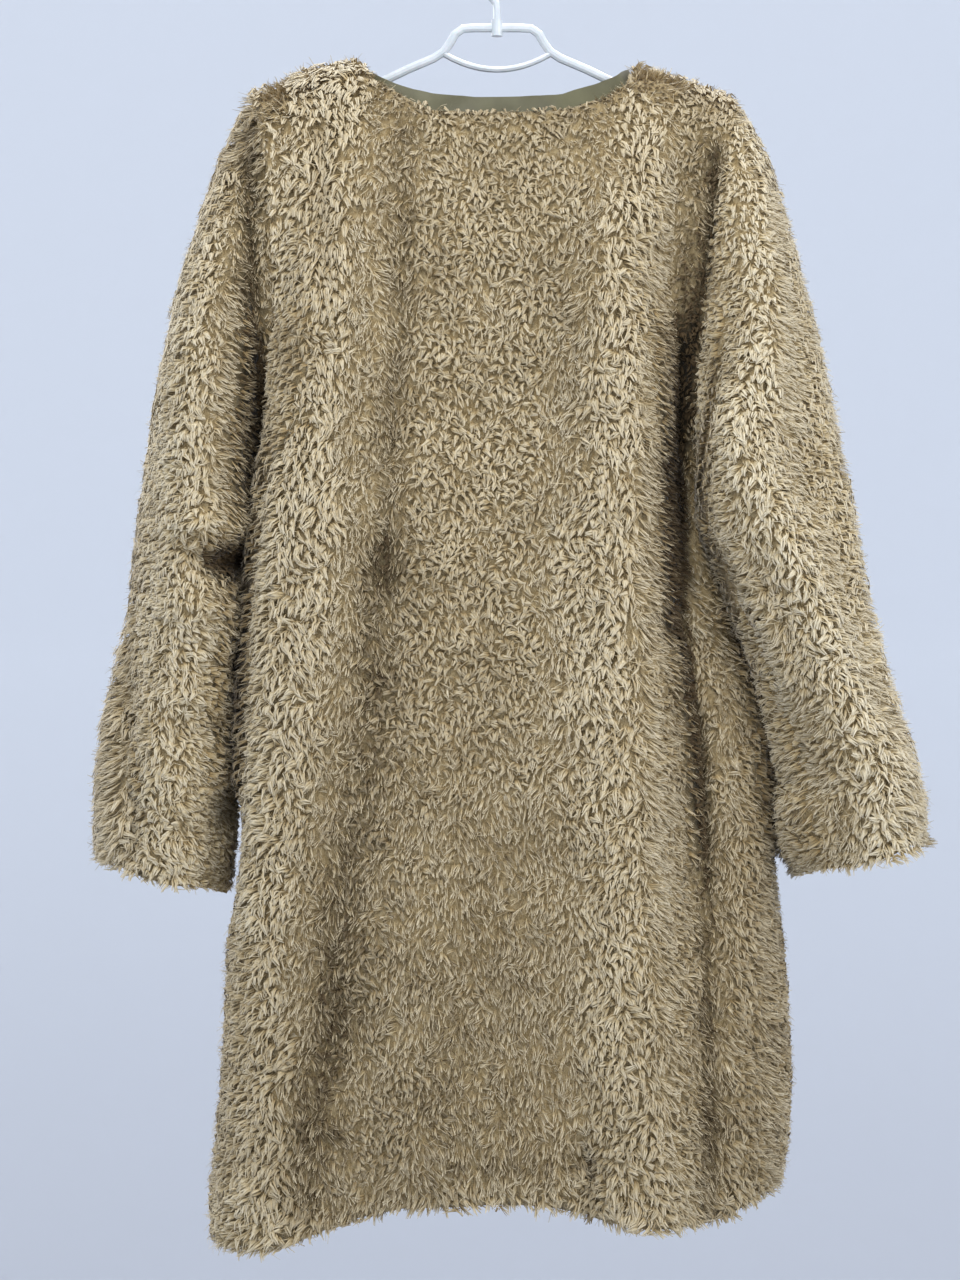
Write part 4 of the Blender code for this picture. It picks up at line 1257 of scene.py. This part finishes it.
RIGHT_ZONES = zones(
    1,
    (0.021, 0.010, 0.34, 0.40, 0.001,
     ((-0.154, -0.370), (-0.174, -0.392), (-0.194, -0.430), (-0.220, -0.470), (-0.245, -0.52),
      (-0.270, -0.57), (-0.300, -0.66), (-0.312, -0.76))),
    (0.030, 0, 0.20, 0.20, ((-0.205, -0.14), (-0.205, -0.25), (-0.192, -0.36))),
    (0.008, -0.004, -0.14,
     ((-0.2275, -0.24), (-0.239, -0.36), (-0.267, -0.49), (-0.294, -0.60), (-0.308, -0.70))),
    (0.020, 0, 0.14, -0.45, ((-0.226, -0.22), (-0.244, -0.36), (-0.272, -0.49), (-0.300, -0.60))),
    (0.012, -0.005, -0.12, ((-0.200, -0.50), (-0.232, -0.57), (-0.262, -0.68), (-0.270, -0.78))),
    (0.012, -0.005, 0, -0.20, ((-0.236, -0.41), (-0.262, -0.50), (-0.288, -0.60))),
    (0.012, -0.005, -0.10, ((-0.196, -0.60), (-0.240, -0.66))),
    (0.009, 0.003, 0.36, 0, 0.001, ((-0.190, -0.52), (-0.216, -0.60), (-0.226, -0.68), (-0.228, -0.74))),
) + zones(
    -1,
    (0.030, 0, 0.18, 0.30, ((-0.216, -0.16), (-0.240, -0.34), (-0.266, -0.54), (-0.284, -0.78))),
    (0.011, -0.008, -0.26, ((-0.192, -0.46), (-0.246, -0.50))),
    (0.012, -0.005, -0.18, ((-0.206, -0.58), (-0.270, -0.63))),
) + zones(
    0,
    (0.022, 0, 0, 0, 0.0020, 0.5, ((-0.205, -0.11), (-0.262, -0.30), (-0.296, -0.48), (-0.340, -0.76))),
) + RIGHT_ARMHOLE_ZONES


@dataclass
class Facing:
    """A band of satin inside the neck, a little puckered."""

    node: str
    flat: Pair
    area: float
    pucker: float = 0.0016
    pucker_size: float = 0.020
    crease: float = math.radians(35)
    rests_on: tuple[str, ...] = ("back_cloth", "front_left_cloth", "front_right_cloth")

    def build(self, satin: Material) -> None:
        """Builds the band.

        Args:
            satin: Its finish.
        """
        mesh = bmesh.new()
        mesh.from_mesh(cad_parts[self.node].data)
        bmesh.ops.remove_doubles(mesh, verts=mesh.verts, dist=MERGE)
        bmesh.ops.subdivide_edges(mesh, edges=mesh.edges, cuts=2, use_grid_fill=True)
        for vert in mesh.verts:
            vert.co += noise.noise_vector(vert.co / self.pucker_size) * self.pucker
        mesh.normal_update()
        for edge in mesh.edges:
            edge.smooth = edge.calc_face_angle(0.0) < self.crease
        for face in mesh.faces:
            face.smooth = True
        band = add_object(self.node + "_satin", mesh)
        band.data.materials.append(satin)
        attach(band, BODY)
        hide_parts(self.node)


@dataclass
class WholeCoat:
    """The whole coat."""

    panels: tuple[FurPanel, ...] = (
        FurPanel("back", (0.0, 0.0), 27, (0.58, 0.94), 0.436, BACK_ZONES, 0.10, 0.48, 11, pieces=2),
        FurPanel("front_left", (0.0, 0.0), 30, (0.30, 0.93), 0.213, FRONT_ZONES, 0.25, 0.48, 21),
        FurPanel("front_right", (0.0, 0.0), 30, (0.30, 0.93), 0.209, FRONT_ZONES, 0.25, 0.48, 31),
        FurPanel("sleeve_left", (0.245, 0.0), 25, (0.40, 0.63), 0.212, LEFT_ZONES, 0.6, 0.66, 41, BESIDE),
        FurPanel("sleeve_right", (-0.245, 0.01), 25, (0.40, 0.61), 0.206, RIGHT_ZONES, 0.6, 0.71, 51, BESIDE),
    )
    facings: tuple[Facing, ...] = (
        Facing("facing_back", (0.31, 0.036), 0.0094),
        Facing("facing_front_left", (0.20, 0.028), 0.0046),
        Facing("facing_front_right", (0.20, 0.028), 0.0046),
    )

    def build(self) -> None:
        """Builds the panels and facings."""
        pile = PileFinish().make()
        undercoat = UndercoatFinish().make()
        lining = SatinFinish("coat_lining", srgb(104, 94, 70), srgb(84, 75, 55), 0.5).make()
        for panel in self.panels:
            panel.build(pile, undercoat, lining)
        satin = SatinFinish("neck_facing").make()
        for facing in self.facings:
            facing.build(satin)


@dataclass
class Hanger:
    """The moulded hanger: the model's own bars in white plastic."""

    nodes: tuple[str, ...] = ("hanger_frame", "hanger_hook")

    def build(self) -> None:
        """Dresses the bars."""
        plastic = PlasticFinish().make()
        for node in self.nodes:
            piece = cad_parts[node]
            piece.data.materials.clear()
            piece.data.materials.append(plastic)
            log.info("%s: white plastic", node)


# ---- studio ----
@dataclass
class Studio:
    """A round pale cove, soft lights and the camera."""

    floor_z: float = -1.9
    flat_radius: float = 4.2
    cove_radius: float = 1.4
    wall_top: float = 3.4
    bends: int = 10
    sides: int = 64
    world_strength: float = 1.24
    lamp_colour: Triple = (1.0, 0.985, 0.96)
    aim: Triple = (0.0, 0.0, -0.5)
    lamps: tuple = (
        ("key", (0.5, 1.7, 1.3), 1.4, 32.0),
        ("fill", (-2.0, 1.8, 0.5), 1.8, 33.0),
        ("front_key", (-0.5, -1.7, 1.3), 1.4, 32.0),
        ("front_fill", (2.0, -1.8, 0.5), 1.8, 28.0),
    )
    view_centre: Triple = (0.0134, 0.0, -0.5515)
    distance: float = 2.6
    metres_per_pixel: float = 0.00079
    picture_height: int = 1280
    sensor: float = 36.0

    def build(self) -> None:
        """Builds the cove, the lights and the camera."""
        self.cove()
        self.lights()
        self.camera()

    def cove(self) -> None:
        """Turns the cove's outline, floor to wall, round the middle."""
        mesh = bmesh.new()
        outline = [(self.flat_radius * share, self.floor_z) for share in (0.0, 0.5, 1.0)]
        for step in range(1, self.bends + 1):
            turn = math.pi / 2 * step / self.bends
            radius = self.flat_radius + self.cove_radius * math.sin(turn)
            outline.append((radius, self.floor_z + self.cove_radius * (1 - math.cos(turn))))
        outline.append((radius, outline[-1][1] + self.wall_top))
        chain = [mesh.verts.new((radius, 0, height)) for radius, height in outline]
        edges = [mesh.edges.new(pair) for pair in zip(chain, chain[1:])]
        bmesh.ops.spin(
            mesh, geom=chain + edges, cent=(0, 0, 0), axis=(0, 0, 1), angle=2 * math.pi,
            steps=self.sides, use_merge=True,
        )
        bmesh.ops.remove_doubles(mesh, verts=mesh.verts, dist=1e-4)
        bmesh.ops.recalc_face_normals(mesh, faces=mesh.faces)
        if sum(f.normal.z for f in mesh.faces) < 0:
            bmesh.ops.reverse_faces(mesh, faces=mesh.faces)
        for face in mesh.faces:
            face.smooth = True
        cove = add_object("studio_cove", mesh)
        cove.data.materials.append(StudioFinish().make())

    def lights(self) -> None:
        """Adds the soft lights."""
        world = bpy.data.worlds.new("studio")
        bpy.context.scene.world = world
        world.use_nodes = True
        background = world.node_tree.nodes["Background"]
        background.inputs["Color"].default_value = srgb(236, 241, 250)
        background.inputs["Strength"].default_value = self.world_strength
        for name, place, size, power in self.lamps:
            data = bpy.data.lights.new(name, "AREA")
            data.shape = "DISK"
            data.size = size
            data.energy = power
            data.color = self.lamp_colour
            light = bpy.data.objects.new(name, data)
            bpy.context.scene.collection.objects.link(light)
            light.location = place
            way = Vector(self.aim) - light.location
            light.rotation_euler = way.to_track_quat("-Z", "Y").to_euler()
        bpy.context.scene.view_settings.view_transform = "Standard"

    def camera(self) -> None:
        """Adds the camera, level, behind the coat."""
        data = bpy.data.cameras.new("camera")
        data.sensor_fit = "AUTO"
        data.sensor_width = self.sensor
        data.lens = self.sensor * self.distance / (self.picture_height * self.metres_per_pixel)
        camera = bpy.data.objects.new("camera", data)
        bpy.context.scene.collection.objects.link(camera)
        camera.location = Vector(self.view_centre) + Vector((0, self.distance, 0))
        camera.rotation_euler = Vector((0, -1, 0)).to_track_quat("-Z", "Y").to_euler()
        bpy.context.scene.camera = camera


def main() -> None:
    """Builds everything."""
    logging.basicConfig(level=logging.INFO, format="%(name)s: %(message)s")
    noise.seed_set(NOISE_SEED)  # unseeded, the vector noise differs in each run
    WholeCoat().build()
    Hanger().build()
    Studio().build()


if __name__ == "__main__":
    main()
